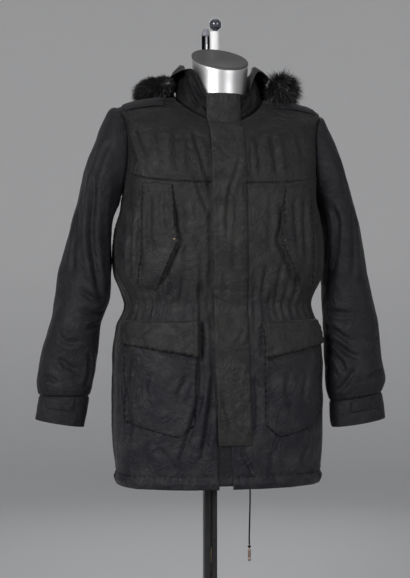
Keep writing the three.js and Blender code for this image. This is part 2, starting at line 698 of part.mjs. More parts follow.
const hoodFront = hoodRows.at(-1);
const hoodFrontOut = (z) => {
  const [low, high] = [hoodFront.root, hoodFront.edge];
  return mix(low[0], high[0], (z - low[1]) / (high[1] - low[1])) + hoodWall / 2;
};
const collarFoot = 1418;

function onFrontAndHood(x, z, lift) {
  if (z < collarFoot) return onFront(x, z, lift);
  const out = hoodFrontOut(z) + lift;
  const angle = Math.asin(x / out);
  return point(x, neckMiddle - out * Math.cos(angle), z);
}

function strip(levels, leftOf, rightOf, steps, lift, thickness) {
  const layer = (extra) =>
    levels.map((z) =>
      Array.from({ length: steps + 1 }, (_, s) =>
        onFrontAndHood(mix(leftOf(z), rightOf(z), s / steps), z, lift + extra),
      ),
    );
  return wall(layer(thickness), layer(0));
}

const flapLevels = [
  flapFoot, 800, 870, 925, 985, 1012, 1034, 1058, 1095, 1145, 1195, 1242, 1284, 1326, 1360, 1382,
  1396, 1424, 1446, flapTop,
];
const flapLeft = (z) => flapMiddle(z) - flapHalf;
const flapRight = (z) => flapMiddle(z) + flapHalf;
const flapWall = 2.4;
addPiece("storm_flap", strip(flapLevels, flapLeft, flapRight, 4, patchLift, flapWall), warmFabric);

const placketLevels = [662, 682, 740, 830, 925, 985, 1034, 1095, 1145, 1195, 1242, 1284, 1326, 1345];
const placketLeft = (z) => rightEdge(z) - 16;
const placketRight = (z) => leftEdge(z) + 16;
const placketWall = 1.4;
const placketLift = -clothWall - placketWall - 0.8;
addPiece(
  "under_placket",
  strip(placketLevels, placketLeft, placketRight, 4, placketLift, placketWall),
  fabric,
);

// Shoulder straps

for (const [name, arm] of Object.entries(arms)) {
  const outs = [204, 184, 164, 143, 122];
  const layer = (lift) =>
    outs.map((out) => [-36, -19, -2, 14].map((y) => onShoulder(arm.side, out, y, lift)));
  const strap = wall(layer(patchLift + patchWall), layer(patchLift));
  addPiece(`shoulder_strap_${name}`, strap, fabric);
}

// Dress form: torso, neck with a slanted top, pole behind it, post with a knob, base plate

const formGap = 1.4; // from the torso's shoulders to the cloth that rests on them
const torsoLevels = [
  { z: 800, half: 140, depth: 92 },
  { z: 812, half: 158, depth: 104 },
  { z: 900, half: 170, depth: 112 },
  { z: 1010, half: 152, depth: 100 },
  { z: 1110, half: 158, depth: 104 },
  { z: 1230, half: 172, depth: 114 },
  { z: 1330, half: 176, depth: 112 },
];
const neckGap = 1.5; // more at the neckline
const shoulderRows = [16, 17, 18, 19, 20]; // body sections that the torso follows from inside
const columnsPerSide = 2; // body columns for each side of the torso
const formSides = bodyColumns / columnsPerSide;
const neckSeatZ = 1452;

function torsoSolid(grow) {
  const levels = torsoLevels.map(({ z, half, depth }) =>
    Array.from({ length: formSides }, (_, s) => {
      const angle = angles[s * columnsPerSide];
      return point((half + grow) * Math.cos(angle), (depth + grow) * Math.sin(angle), z);
    }),
  );
  const shoulders = shoulderRows.map((r) => {
    const lift = grow - clothWall - formGap - (r === neckRow ? neckGap : 0);
    return Array.from({ length: formSides }, (_, s) => onBody(r, s * columnsPerSide, lift));
  });
  const top = Array.from({ length: formSides }, (_, s) => {
    const angle = angles[s * columnsPerSide];
    return point(66 * Math.cos(angle), 66 * Math.sin(angle), neckSeatZ + grow);
  });
  return loft([...levels, ...shoulders, top], false);
}
addPiece("torso", torsoSolid(0), formLook);

const neckTilt = { x: -0.06, y: 0.51 }; // slope of the neck's top
const neckCentre = { x: 4, y: 0 };
const neckSections = [
  { z: neckSeatZ + seamGap, radius: 58, slant: 0 },
  { z: 1486, radius: 58, slant: 0.3 },
  { z: 1522, radius: 58.5, slant: 0.75 },
  { z: 1545, radius: 60, slant: 1 },
  { z: 1557, radius: 61, slant: 1 },
  { z: 1559, radius: 60, slant: 1 },
];
const neckSides = 28;

function neckRing({ z, radius, slant }) {
  return Array.from({ length: neckSides }, (_, s) => {
    const angle = (2 * Math.PI * s) / neckSides;
    const x = radius * Math.cos(angle);
    const y = radius * Math.sin(angle);
    const rise = slant * (neckTilt.x * x + neckTilt.y * y);
    return point(neckCentre.x + x, neckCentre.y + y, z + rise);
  });
}
addPiece("neck", loft(neckSections.map(neckRing), false), steelLook);
const capSections = [
  { z: 1559 + seamGap, radius: 56, slant: 1 },
  { z: 1561, radius: 56, slant: 1 },
  { z: 1562, radius: 54.5, slant: 1 },
];
addPiece("neck_cap", loft(capSections.map(neckRing), false), capLook);

const poleCentre = { x: -4, y: 82 };
const poleWidth = 28.6;
const slotWidth = 6;
const slotDepth = 6;
const plateRadius = 225;
const plateHeight = 12;
const socketHeight = 30;

// A square tube's outline with a slot down its front face.
function poleOutline() {
  const half = poleWidth / 2;
  const round = 3.5;
  const outline = new THREE.Shape();
  outline.moveTo(-slotWidth / 2, -half);
  outline.lineTo(-slotWidth / 2, -half + slotDepth);
  outline.lineTo(slotWidth / 2, -half + slotDepth);
  outline.lineTo(slotWidth / 2, -half);
  outline.lineTo(half - round, -half);
  outline.absarc(half - round, -half + round, round, -Math.PI / 2, 0, false);
  outline.absarc(half - round, half - round, round, 0, Math.PI / 2, false);
  outline.absarc(-half + round, half - round, round, Math.PI / 2, Math.PI, false);
  outline.absarc(-half + round, -half + round, round, Math.PI, 1.5 * Math.PI, false);
  outline.closePath();
  return outline;
}

function upright(shape, from, to, curveSegments) {
  const options = { depth: to - from, bevelEnabled: false, curveSegments };
  return new THREE.ExtrudeGeometry(shape, options).translate(poleCentre.x, poleCentre.y, from);
}

const torsoFoot = torsoLevels[0].z;
addPiece("pole", upright(poleOutline(), plateHeight + seamGap, torsoFoot - seamGap, 4), blackLook);

function basePlate() {
  const edge = 2;
  const profile = [
    [0, 0],
    [plateRadius - edge, 0],
    [plateRadius, edge],
    [plateRadius, plateHeight - edge],
    [plateRadius - edge, plateHeight],
    [0, plateHeight],
  ].map(([r, z]) => new THREE.Vector2(r, z));
  return new THREE.LatheGeometry(profile, 32).rotateX(Math.PI / 2).translate(0, 30, 0);
}

function poleSocket() {
  const inner = poleWidth / 2 + seamGap;
  const outer = inner + 7;
  const shape = new THREE.Shape();
  shape.moveTo(-outer, -outer).lineTo(outer, -outer).lineTo(outer, outer).lineTo(-outer, outer);
  shape.closePath();
  const hole = new THREE.Path();
  hole.moveTo(-inner, -inner).lineTo(-inner, inner).lineTo(inner, inner).lineTo(inner, -inner);
  hole.closePath();
  shape.holes.push(hole);
  return upright(shape, plateHeight + seamGap, plateHeight + socketHeight, 1);
}
addPiece("base_plate", basePlate(), blackLook);
addPiece("pole_socket", poleSocket(), blackLook);

// Bright post behind the neck, with a clamp block and a knob.
const postRadius = 9;
const postX = -14;
const postTop = 1642;
const blockX = 6;
const knobRadius = 14;
const torsoTool = torsoSolid(seamGap + 0.3);
const postProfile = [[0, 1400], [postRadius, 1400], [postRadius, postTop - 5], [5, postTop], [0, postTop]];
const lathe = (profile, sides) =>
  new THREE.LatheGeometry(profile.map(([r, z]) => new THREE.Vector2(r, z)), sides).rotateX(
    Math.PI / 2,
  );
const post = lathe(postProfile, 16).translate(postX, poleCentre.y, 0);
addPiece("post", cut(post.deleteAttribute("normal").deleteAttribute("uv"), torsoTool), steelLook);
const blockShape = new THREE.Shape();
const blockHalf = 10.5;
const blockDepth = 9;
blockShape.absellipse(0, 0, blockHalf, blockDepth, 0, 2 * Math.PI, false);
const block = new THREE.ExtrudeGeometry(blockShape, {
  depth: 1636 - 1400,
  bevelEnabled: false,
  curveSegments: 5,
}).translate(postX + postRadius + seamGap + blockHalf, poleCentre.y, 1400);
addPiece("post_block", cut(block.deleteAttribute("normal").deleteAttribute("uv"), torsoTool), steelLook);
const knobZ = 1636 + seamGap;
const knobProfile = [
  [0, knobZ], [5, knobZ], [5, knobZ + 3], [11, knobZ + 6], [knobRadius, knobZ + 15],
  [11, knobZ + 24], [5.5, knobZ + 28.5], [0, knobZ + 29.5],
];
addPiece("knob", lathe(knobProfile, 16).translate(blockX + 2, poleCentre.y, 0), blackLook);

// Drawcord of the hem, with its knot and metal tip

const cordRadius = 1.75;
const cordX = 45;
const cordTop = onFront(cordX, bodyRows[0].front + 0.01, -clothWall / 2);
const knotTop = 541;
const knotFoot = 534;
const tipFoot = 508;
const cordRoute = [
  [cordX, cordTop.y, bodyRows[0].front - 0.4],
  [cordX - 0.3, cordTop.y - 0.6, 625],
  [cordX - 1.2, cordTop.y - 1, 590],
  [cordX - 1.8, cordTop.y - 0.4, 560],
  [cordX - 1.6, cordTop.y, knotTop + seamGap],
].map(([x, y, z]) => point(x, y, z));
const cordShape = new THREE.Shape().absarc(0, 0, cordRadius, 0, 2 * Math.PI, false);
const cord = new THREE.ExtrudeGeometry(cordShape, {
  steps: 12,
  curveSegments: 4,
  extrudePath: new THREE.CatmullRomCurve3(cordRoute),
});
addPiece("cord", cord, fabric);
const cordEnd = cordRoute.at(-1);
const knot = lathe(
  [[0, knotFoot], [2.4, knotFoot + 0.6], [3.6, 537.5], [2.6, knotTop - 0.6], [0, knotTop]],
  10,
);
addPiece("cord_knot", knot.translate(cordEnd.x, cordEnd.y, 0), fabric);
const tipTop = knotFoot - seamGap;
const tipProfile = [
  [0, tipFoot], [2.2, tipFoot], [3, tipFoot + 2], [3, knotFoot - 3], [2, tipTop], [0, tipTop],
];
addPiece("cord_tip", lathe(tipProfile, 12).translate(cordEnd.x, cordEnd.y, 0), brassLook);

// The whole stands on its base plate, centred over the origin.
const box = new THREE.Box3().setFromObject(group);
const centre = box.getCenter(new THREE.Vector3());
group.position.set(-centre.x, -centre.y, -box.min.z);

export default group;
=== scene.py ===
import math
import random
import bpy
import bmesh
import numpy as np
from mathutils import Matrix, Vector


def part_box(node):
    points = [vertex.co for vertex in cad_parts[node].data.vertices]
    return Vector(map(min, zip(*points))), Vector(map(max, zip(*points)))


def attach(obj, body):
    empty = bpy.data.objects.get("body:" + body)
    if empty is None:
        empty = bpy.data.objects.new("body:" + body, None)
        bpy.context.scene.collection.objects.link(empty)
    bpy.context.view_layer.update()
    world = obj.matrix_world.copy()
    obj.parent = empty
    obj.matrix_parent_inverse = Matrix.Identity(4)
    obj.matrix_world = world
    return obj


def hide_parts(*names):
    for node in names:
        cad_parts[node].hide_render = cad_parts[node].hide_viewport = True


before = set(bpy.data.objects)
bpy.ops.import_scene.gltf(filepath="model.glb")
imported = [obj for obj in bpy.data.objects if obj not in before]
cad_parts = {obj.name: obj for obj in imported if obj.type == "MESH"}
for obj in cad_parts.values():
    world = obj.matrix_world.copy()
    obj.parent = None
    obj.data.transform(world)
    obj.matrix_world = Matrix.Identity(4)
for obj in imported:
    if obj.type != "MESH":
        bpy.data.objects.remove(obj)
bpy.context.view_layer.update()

# Lengths below are the part's own millimetres; plateMiddle is where its base plate lies in them.
plateMiddle = (0.0, 30.0)
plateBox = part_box("base_plate")
shift = np.array([
    500 * (plateBox[0][0] + plateBox[1][0]) - plateMiddle[0],
    500 * (plateBox[0][1] + plateBox[1][1]) - plateMiddle[1],
    0.0,
])


def metres(points):
    return (np.asarray(points, float) + shift) / 1000


def linked(name, data):
    piece = bpy.data.objects.new(name, data)
    bpy.context.collection.objects.link(piece)
    return piece


# Camera, at the photograph's angle

cameraSet = {"place": (-0.4314, -2.6529, 1.066), "turn": 9, "lens": 77.06}
cameraData = bpy.data.cameras.new("camera")
cameraData.lens = cameraSet["lens"]
cameraData.sensor_width = 36
camera = linked("camera", cameraData)
camera.location = cameraSet["place"]
camera.rotation_euler = (math.pi / 2, 0, -math.radians(cameraSet["turn"]))
bpy.context.scene.camera = camera

# The body's sections: heights at the front, side and back, half width, depth ahead and behind, squareness
bodyRows = np.array([
    (655, 655, 655, 219, 131, 130, 2.6), (668, 668, 668, 223, 134, 133, 2.6),
    (682, 682, 682, 219, 131, 130, 2.6), (740, 740, 740, 224, 135, 133, 2.6),
    (830, 830, 830, 225, 138, 135, 2.6), (925, 925, 925, 223, 138, 134, 2.6),
    (985, 985, 985, 215, 134, 128, 2.6), (1012, 1012, 1012, 205, 128, 119, 2.6),
    (1034, 1034, 1034, 199, 124, 114, 2.6), (1058, 1058, 1058, 207, 129, 120, 2.6),
    (1095, 1095, 1095, 223, 138, 130, 2.7), (1145, 1145, 1145, 226, 142, 134, 2.8),
    (1195, 1195, 1195, 221, 142, 136, 2.9), (1242, 1242, 1245, 210, 140, 138, 3),
    (1284, 1318, 1318, 206, 138, 139, 3.2), (1326, 1358, 1362, 206, 133, 137, 3.2),
    (1360, 1400, 1406, 209, 123, 132, 3), (1382, 1432, 1442, 214, 113, 126, 2.7),
    (1392, 1450, 1464, 217, 105, 120, 2.4), (1400, 1464, 1476, 172, 96, 116, 2.2),
    (1413, 1476, 1492, 96, 80, 108, 2),
], float)
yokeRow = 14
neckRow = 20
frontColumns = 18
backColumns = 28
bodyColumns = backColumns + 2 * frontColumns
frontMiddle = backColumns + frontColumns


def sectionRadius(row, angle):
    half, ahead, behind, square = row[3:]
    side = np.abs(np.cos(angle)) / half
    depth = np.abs(np.sin(angle)) / np.where(np.sin(angle) < 0, ahead, behind)
    return (side ** square + depth ** square) ** (-1 / square)


def columnAngles():
    fine = 2000
    found = []
    for start, count in ((0.0, backColumns), (math.pi, 2 * frontColumns)):
        turn = start + math.pi * np.arange(fine + 1) / fine
        radius = sectionRadius(bodyRows[5], turn)
        x, y = radius * np.cos(turn), radius * np.sin(turn)
        lengths = np.concatenate([[0], np.cumsum(np.hypot(np.diff(x), np.diff(y)))])
        wanted = lengths[-1] * np.arange(count) / count
        found.append(turn[np.searchsorted(lengths, wanted)])
    return np.concatenate(found)


angles = columnAngles()


# Long soft folds of the back, which the solids have too
def bodyFold(r, c):
    out = np.zeros(bodyColumns)
    behind = c <= backColumns
    if 2 < r < 7:
        out += np.where(behind, 3.4 * np.sin(0.95 * c + 0.2 * r) * min(1, (r - 2) / 2), 0)
    if 9 < r < 15:
        out += np.where(behind, 2.6 * np.sin(0.8 * c - 0.35 * r + 1), 0)
    return out


def bodyRing(r):
    row = bodyRows[r]
    radius = sectionRadius(row, angles)
    x, y = radius * np.cos(angles), radius * np.sin(angles)
    rise = (np.abs(y) / np.where(y < 0, row[4], row[5])) ** 1.4
    z = row[1] + (np.where(y < 0, row[0], row[2]) - row[1]) * rise
    grow = 1 + bodyFold(r, np.arange(bodyColumns)) / radius
    return np.stack([x * grow, y * grow, z], -1)


bodyNet = np.stack([bodyRing(r) for r in range(neckRow + 1)])


def cubic(t):
    return np.stack([
        -0.5 * t + t * t - 0.5 * t ** 3, 1 - 2.5 * t * t + 1.5 * t ** 3,
        0.5 * t + 2 * t * t - 1.5 * t ** 3, -0.5 * t * t + 0.5 * t ** 3,
    ], -1)


# A smooth surface through a net of points, at rows r and columns c
def netAt(net, r, c, wrapped=True):
    r, c = np.broadcast_arrays(np.asarray(r, float), np.asarray(c, float))
    rows, columns = net.shape[:2]
    low = np.clip(np.floor(r), 0, rows - 2).astype(int)
    left = np.floor(c).astype(int) if wrapped else np.clip(np.floor(c), 0, columns - 2).astype(int)
    acrossRows, acrossColumns = cubic(r - low), cubic(c - left)
    out = 0
    for i in range(4):
        ri = np.clip(low - 1 + i, 0, rows - 1)
        for j in range(4):
            cj = (left - 1 + j) % columns if wrapped else np.clip(left - 1 + j, 0, columns - 1)
            out = out + (acrossRows[..., i] * acrossColumns[..., j])[..., None] * net[ri, cj]
    return out


# Halves the ranges from low to high, keeping the upper half where isLow holds at the middle
def halved(shape, low, high, steps, isLow):
    low, high = np.zeros(shape) + low, np.zeros(shape) + high
    for _ in range(steps):
        middle = (low + high) / 2
        less = isLow(middle)
        low, high = np.where(less, middle, low), np.where(less, high, middle)
    return low, high


# The column where a row of the front has the given x
def columnAtX(r, x):
    shape = np.broadcast(r, x).shape
    return halved(shape, backColumns, bodyColumns, 22, lambda c: netAt(bodyNet, r, c)[..., 0] < x)[0]


# Row and column of a point of the front by its place in the front view
def frontPlace(x, z):
    x, z = np.broadcast_arrays(np.asarray(x, float), np.asarray(z, float))
    r = halved(x.shape, 0, neckRow, 18, lambda r: netAt(bodyNet, r, columnAtX(r, x))[..., 2] < z)[0]
    return r, columnAtX(r, x)


def normalsOf(net, wrapped=False):
    along = np.gradient(net, axis=0)
    if wrapped:
        across = np.roll(net, -1, 1) - np.roll(net, 1, 1)
    else:
        across = np.gradient(net, axis=1)
    normals = np.cross(across, along)
    normals /= np.maximum(np.linalg.norm(normals, axis=-1, keepdims=True), 1e-9)
    outward = ((net - net.reshape(-1, 3).mean(0)) * normals).sum()
    return -normals if outward < 0 else normals


bodyNormals = normalsOf(bodyNet, True)


def onBody(r, c, lift=0.0):
    normals = netAt(bodyNormals, r, c)
    normals /= np.linalg.norm(normals, axis=-1, keepdims=True)
    return netAt(bodyNet, r, c) + normals * np.asarray(lift)[..., None]


# Drawcord of the hem, on the route of its solid

cordX = 45.0
cordTop = onBody(*frontPlace(cordX, 655.01), -1.2)
cordRoute = [
    (cordX, cordTop[1], 654.6), (cordX - 0.3, cordTop[1] - 0.6, 625), (cordX - 1.2, cordTop[1] - 1, 590),
    (cordX - 1.8, cordTop[1] - 0.4, 560), (cordX - 1.6, cordTop[1], 541.3),
]


def tubeCurve(name, route, radius):
    data = bpy.data.curves.new(name, "CURVE")
    data.dimensions = "3D"
    data.bevel_depth = radius / 1000
    data.bevel_resolution = 3
    data.use_fill_caps = True
    spline = data.splines.new("POLY")
    points = metres(route)
    spline.points.add(len(points) - 1)
    for slot, p in zip(spline.points, points):
        slot.co = (*p, 1)
    return linked(name, data)


def smoothPath(stops, count):
    stops = np.asarray(stops, float)
    net = stops[:, None, :].repeat(2, 1)
    return netAt(net, np.linspace(0, len(stops) - 1, count), 0.0, wrapped=False)


cordPath = smoothPath(cordRoute, 24)
drawcord = tubeCurve("drawcord", cordPath, 1.6)

# Creases: soft troughs and ridges along lines on the cloth

def creaseOf(stops, width, depth, ridge, taper=0.25, lean=0.0):
    return dict(line=smoothPath(stops, max(6, 4 * len(stops))), width=width, depth=depth,
                ridge=ridge, taper=taper, lean=lean)


# How far creases move points along their normals, in mm
def creased(points, normals, creases):
    flat, facing = points.reshape(-1, 3), normals.reshape(-1, 3)
    out = np.zeros(len(flat))
    for crease in creases:
        line, width = crease["line"], crease["width"]
        low, high = line.min(0) - 4 * width, line.max(0) + 4 * width
        near = np.nonzero(((flat > low) & (flat < high)).all(1))[0]
        if not len(near):
            continue
        p, n = flat[near], facing[near]
        best = np.full(len(near), 1e9)
        side = np.zeros(len(near))
        along = np.zeros(len(near))
        steps = np.linalg.norm(np.diff(line, axis=0), axis=1)
        starts = np.concatenate([[0], np.cumsum(steps)])
        for k, (a, b) in enumerate(zip(line[:-1], line[1:])):
            d = b - a
            t = np.clip(((p - a) @ d) / (d @ d), 0, 1)
            away = p - a - t[:, None] * d
            far = np.linalg.norm(away, axis=1)
            hit = far < best
            best[hit] = far[hit]
            signs = np.sign((np.cross(d, n) * away).sum(1))
            side[hit] = (far * signs)[hit]
            along[hit] = (starts[k] + t * steps[k])[hit]
        share = along / starts[-1]
        ends = np.clip(np.minimum(share, 1 - share) / max(crease["taper"], 1e-3), 0, 1)
        fade = ends * ends * (3 - 2 * ends)
        u = side / width
        shape = -np.exp(-u * u)
        shape += crease["ridge"] * (1 + crease["lean"]) * np.exp(-((u - 1.7) / 1.1) ** 2)
        shape += crease["ridge"] * (1 - crease["lean"]) * np.exp(-((u + 1.7) / 1.1) ** 2)
        out[near] += crease["depth"] * fade * shape
    return out.reshape(points.shape[:-1])


# Small waves of a seam that has shrunk a little: they run across it and fade away from it
def puckers(far, along, reach, pitch, height, seed):
    wave = np.sin(2 * math.pi * along / pitch + 1.7 * np.sin(along / (2.3 * pitch) + seed))
    wave += 0.6 * np.sin(2 * math.pi * along / (0.62 * pitch) + seed)
    uneven = 0.65 + 0.35 * np.sin(along / (3.1 * pitch) + 2 * seed)
    return height * wave * uneven * np.exp(-(far / reach) ** 2)


# Lumps of cloth that isn't quite smooth, from sines in the part's own millimetres
def unevenness(points, size, height, seed):
    rng = random.Random(seed)
    out = 0
    for k in range(7):
        axis = np.array([rng.uniform(-1, 1) for _ in range(3)])
        axis *= (1 + 0.35 * k) / (np.linalg.norm(axis) * size)
        out = out + np.sin(points @ axis * 2 * math.pi + rng.uniform(0, 6.3)) / (1 + 0.4 * k)
    return height * out / 3


# Meshes

def meshPiece(name, points, faces):
    mesh = bpy.data.meshes.new(name)
    mesh.from_pydata([tuple(p) for p in metres(points)], [], faces)
    mesh.validate()
    mesh.polygons.foreach_set("use_smooth", [True] * len(mesh.polygons))
    return linked(name, mesh)


# Every made piece rides on the root, stands for its solids and has its material slot
def placed(piece, nodes, material=None):
    if material:
        piece.data.materials.append(material)
    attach(piece, "root")
    if nodes:
        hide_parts(*([nodes] if isinstance(nodes, str) else nodes))
    return piece


def gridFaces(rows, columns, wrapped=False, keep=None):
    faces = []
    for r in range(rows - 1):
        for c in range(columns if wrapped else columns - 1):
            if keep is None or keep[r, c]:
                d = (c + 1) % columns
                faces.append((r * columns + c, r * columns + d, (r + 1) * columns + d, (r + 1) * columns + c))
    return faces


# A wrapped grid with a face on each of its two ends
def closedTube(rows, sides):
    ends = [tuple(range(sides))[::-1], tuple((rows - 1) * sides + s for s in range(sides))]
    return gridFaces(rows, sides, True) + ends


# A closed shell of cloth: over is its outer net of points with their normals, and it is thick inwards
def shell(name, over, thick, wrapped, keep, normals):
    rows, columns = over.shape[:2]
    outer = over.reshape(-1, 3)
    inner = outer - thick * normals.reshape(-1, 3)
    faces = np.array(gridFaces(rows, columns, wrapped, keep))
    a, b, c = outer[faces[:, 0]], outer[faces[:, 1]], outer[faces[:, 2]]
    if (np.cross(b - a, c - a) * normals.reshape(-1, 3)[faces[:, 0]]).sum() < 0:
        faces = faces[:, ::-1]
    count = len(outer)
    edges = {}
    for face in faces.tolist():
        for a, b in zip(face, face[1:] + face[:1]):
            if (b, a) in edges:
                del edges[(b, a)]
            else:
                edges[(a, b)] = True
    rim = [(b, a, a + count, b + count) for a, b in edges]
    everything = faces.tolist() + (faces[:, ::-1] + count).tolist() + rim
    used = np.unique(np.array(everything).ravel())
    renumber = np.zeros(2 * count, int)
    renumber[used] = np.arange(len(used))
    points = np.concatenate([outer, inner])[used]
    return meshPiece(name, points, renumber[np.array(everything)].tolist())


# Normals that point along an axis (0, 1 or 2) with the given sign, on the whole
def turnedTo(normals, axis, sign):
    return normals if normals[..., axis].mean() * sign > 0 else -normals


# A net pushed out by a relief, and its new normals
def raised(base, normals, relief, wrapped=False):
    net = base + relief[..., None] * normals
    return net, normalsOf(net, wrapped)


# A wrapped net with its first column once more at its end
def closedUp(net):
    return np.concatenate([net, net[:, :1]], 1)


def areaOf(net):
    a, b = net[1:, 1:] - net[:-1, :-1], net[:-1, 1:] - net[1:, :-1]
    return float(np.linalg.norm(np.cross(a, b), axis=-1).sum() / 2e6)


# Threads: short raised stitches along a path on the cloth; long dark runs of them are strips of painted shade along
# seams
stitchRuns = {"light": [], "dark": []}


def stitch(path, facing, kind="dark", length=3.6, gap=1.4, wide=0.42):
    stitchRuns[kind].append((np.asarray(path, float), np.asarray(facing, float), length, gap, wide))


def stitchesPiece(name, runs):
    points, faces = [], []
    for path, facing, length, gap, wide in runs:
        steps = np.linalg.norm(np.diff(path, axis=0), axis=1)
        along = np.concatenate([[0], np.cumsum(steps)])
        at = lambda s, values: np.array([np.interp(s, along, values[:, k]) for k in range(3)])
        for s in np.arange(gap, along[-1] - length, length + gap):
            a, b = at(s, path), at(s + length, path)
            up = at(s + length / 2, facing)
            up /= max(np.linalg.norm(up), 1e-9)
            side = np.cross(b - a, up)
            side *= wide / max(np.linalg.norm(side), 1e-9)
            middle = (a + b) / 2
            start = len(points)
            points += [a - 0.3 * up, middle + side, middle + 1.1 * wide * up, middle - side, b - 0.3 * up,
                       middle - 0.5 * up]
            for tri in ((0, 1, 2), (0, 2, 3), (4, 2, 1), (4, 3, 2), (0, 5, 1), (0, 3, 5), (4, 1, 5), (4, 5, 3)):
                faces.append(tuple(start + k for k in tri))
    return meshPiece(name, points, faces)


def smoothstep(low, high, value):
    t = np.clip((np.asarray(value, float) - low) / (high - low), 0, 1)
    return t * t * (3 - 2 * t)


def lengthsOf(net, axis):
    steps = np.linalg.norm(np.diff(net, axis=axis), axis=-1)
    start = np.zeros_like(np.take(steps, [0], axis))
    return np.cumsum(np.concatenate([start, steps], axis), axis)


# Distances along a net from its left, right, foot and head edges
def edgeDistances(net):
    left, foot = lengthsOf(net, 1), lengthsOf(net, 0)
    return left, left[:, -1:] - left, foot, foot[-1:] - foot


def onFrontLine(*stops, lift=0.0):
    return onBody(*frontPlace([s[0] for s in stops], [s[1] for s in stops]), lift)


def onBackLine(*stops):
    x, z = np.array(stops, float).T

    def columnAt(r):
        return halved(x.shape, 0, backColumns, 22, lambda c: netAt(bodyNet, r, c)[..., 0] > x)[0]

    r = halved(x.shape, 0, neckRow, 18, lambda r: netAt(bodyNet, r, columnAt(r))[..., 2] < z)[0]
    return onBody(r, columnAt(r))


# Creases along the rows of a table, each with its width, depth, ridge and lean, then the stops of its line
def creasesOn(place, table, wider, deeper):
    return [creaseOf(place(*np.reshape(stops, (-1, 2))), wider * width, deeper * depth, ridge, lean=lean)
            for width, depth, ridge, lean, *stops in table]


# Creases of the fronts by their places in the front view
frontCreases = [
    (6.5, 3.6, 0.6, 0.5, -57, 1165, -59, 1060, -57, 968, -63, 850),
    (6.5, 2.1, 0.5, 0.3, -73, 1402, -60, 1350, -47, 1300, -37, 1256),
    (6, 2, 0.5, 0, -76, 1308, -60, 1268, -41, 1215), (6, 1.2, 0.5, 0, -44, 1372, -66, 1386, -98, 1396),
    (7, 0.9, 0.5, 0, -120, 1366, -88, 1378, -60, 1370), (6, 1.1, 0.5, 0, 44, 1370, 70, 1384, 104, 1394),
    (9, 1.9, 0.6, -0.3, -104, 1400, -107, 1352, -104, 1296), (8, 1.8, 0.6, 0.2, -192, 1398, -176, 1352, -166, 1318),
    (8, 1.1, 0.5, 0, -150, 1405, -140, 1372, -138, 1330), (7, 1.7, 0.5, 0.3, 66, 1388, 63, 1350, 67, 1300),
    (8.5, 2.5, 0.6, -0.3, 94, 1400, 98, 1350, 104, 1292), (9, 1.4, 0.5, 0.2, 150, 1402, 158, 1362, 160, 1322),
    (5.5, 1.5, 0.5, 0, 52, 1372, 47, 1330, 50, 1262), (6, 2.6, 0.6, -0.3, 55, 1090, 57, 1020, 54, 958),
    (6, 2.3, 0.6, 0.2, 80, 1125, 74, 1080, 65, 1030), (6, 2.1, 0.6, 0, 113, 1130, 104, 1078, 99, 1034),
    (6, 1.8, 0.6, 0, 150, 1105, 146, 1070, 140, 1036), (7.5, 2.6, 0.6, 0.3, -178, 1236, -181, 1150, -175, 1086),
    (7, 2.2, 0.6, 0, -196, 1190, -200, 1120, -190, 1060), (7, 2.4, 0.6, 0, 196, 1200, 201, 1130, 190, 1064),
    (7, 1.9, 0.6, 0.2, -159, 1266, -161, 1205, -157, 1130), (6, 1.5, 0.5, 0, -134, 1272, -137, 1220, -129, 1172),
    (6.5, 1.6, 0.5, 0, 138, 1270, 137, 1215, 147, 1130), (7.5, 2, 0.6, -0.2, 163, 1272, 160, 1200, 165, 1110),
    (8, 1.4, 0.5, 0, -92, 1262, -86, 1210, -90, 1140, -84, 1080), (8, 1.2, 0.5, 0, 84, 1250, 88, 1196, 80, 1150),
    (6, 1.8, 0.6, 0, -128, 1110, -120, 1070, -122, 1040), (5.5, 1.7, 0.6, 0, -96, 1100, -94, 1064, -100, 1034),
    (8, 3.6, 0.6, 0.3, -36, 900, -40, 812, -58, 700), (7.5, 2.6, 0.6, 0, -50, 930, -61, 838, -84, 762, -100, 694),
    (7, 1.7, 0.6, 0, -84, 890, -96, 866, -110, 842), (9, 1.9, 0.5, 0, -160, 905, -168, 862, -158, 818),
    (9, 2.2, 0.6, 0.3, -196, 930, -204, 862, -198, 790, -206, 716),
    (8, 1.6, 0.5, 0, -150, 744, -128, 722, -108, 690), (6, 2.4, 0.6, 0.2, 24, 738, 42, 706, 58, 676),
    (8, 2.2, 0.6, -0.3, 54, 900, 60, 830, 56, 748), (9, 1.5, 0.5, 0, 130, 905, 122, 862, 134, 810),
    (8, 1.4, 0.5, 0, 168, 900, 160, 846, 170, 806), (9, 1.6, 0.5, 0, 190, 760, 170, 730, 160, 694),
    (8, 1.3, 0.5, 0, 100, 744, 92, 716, 96, 690),
]
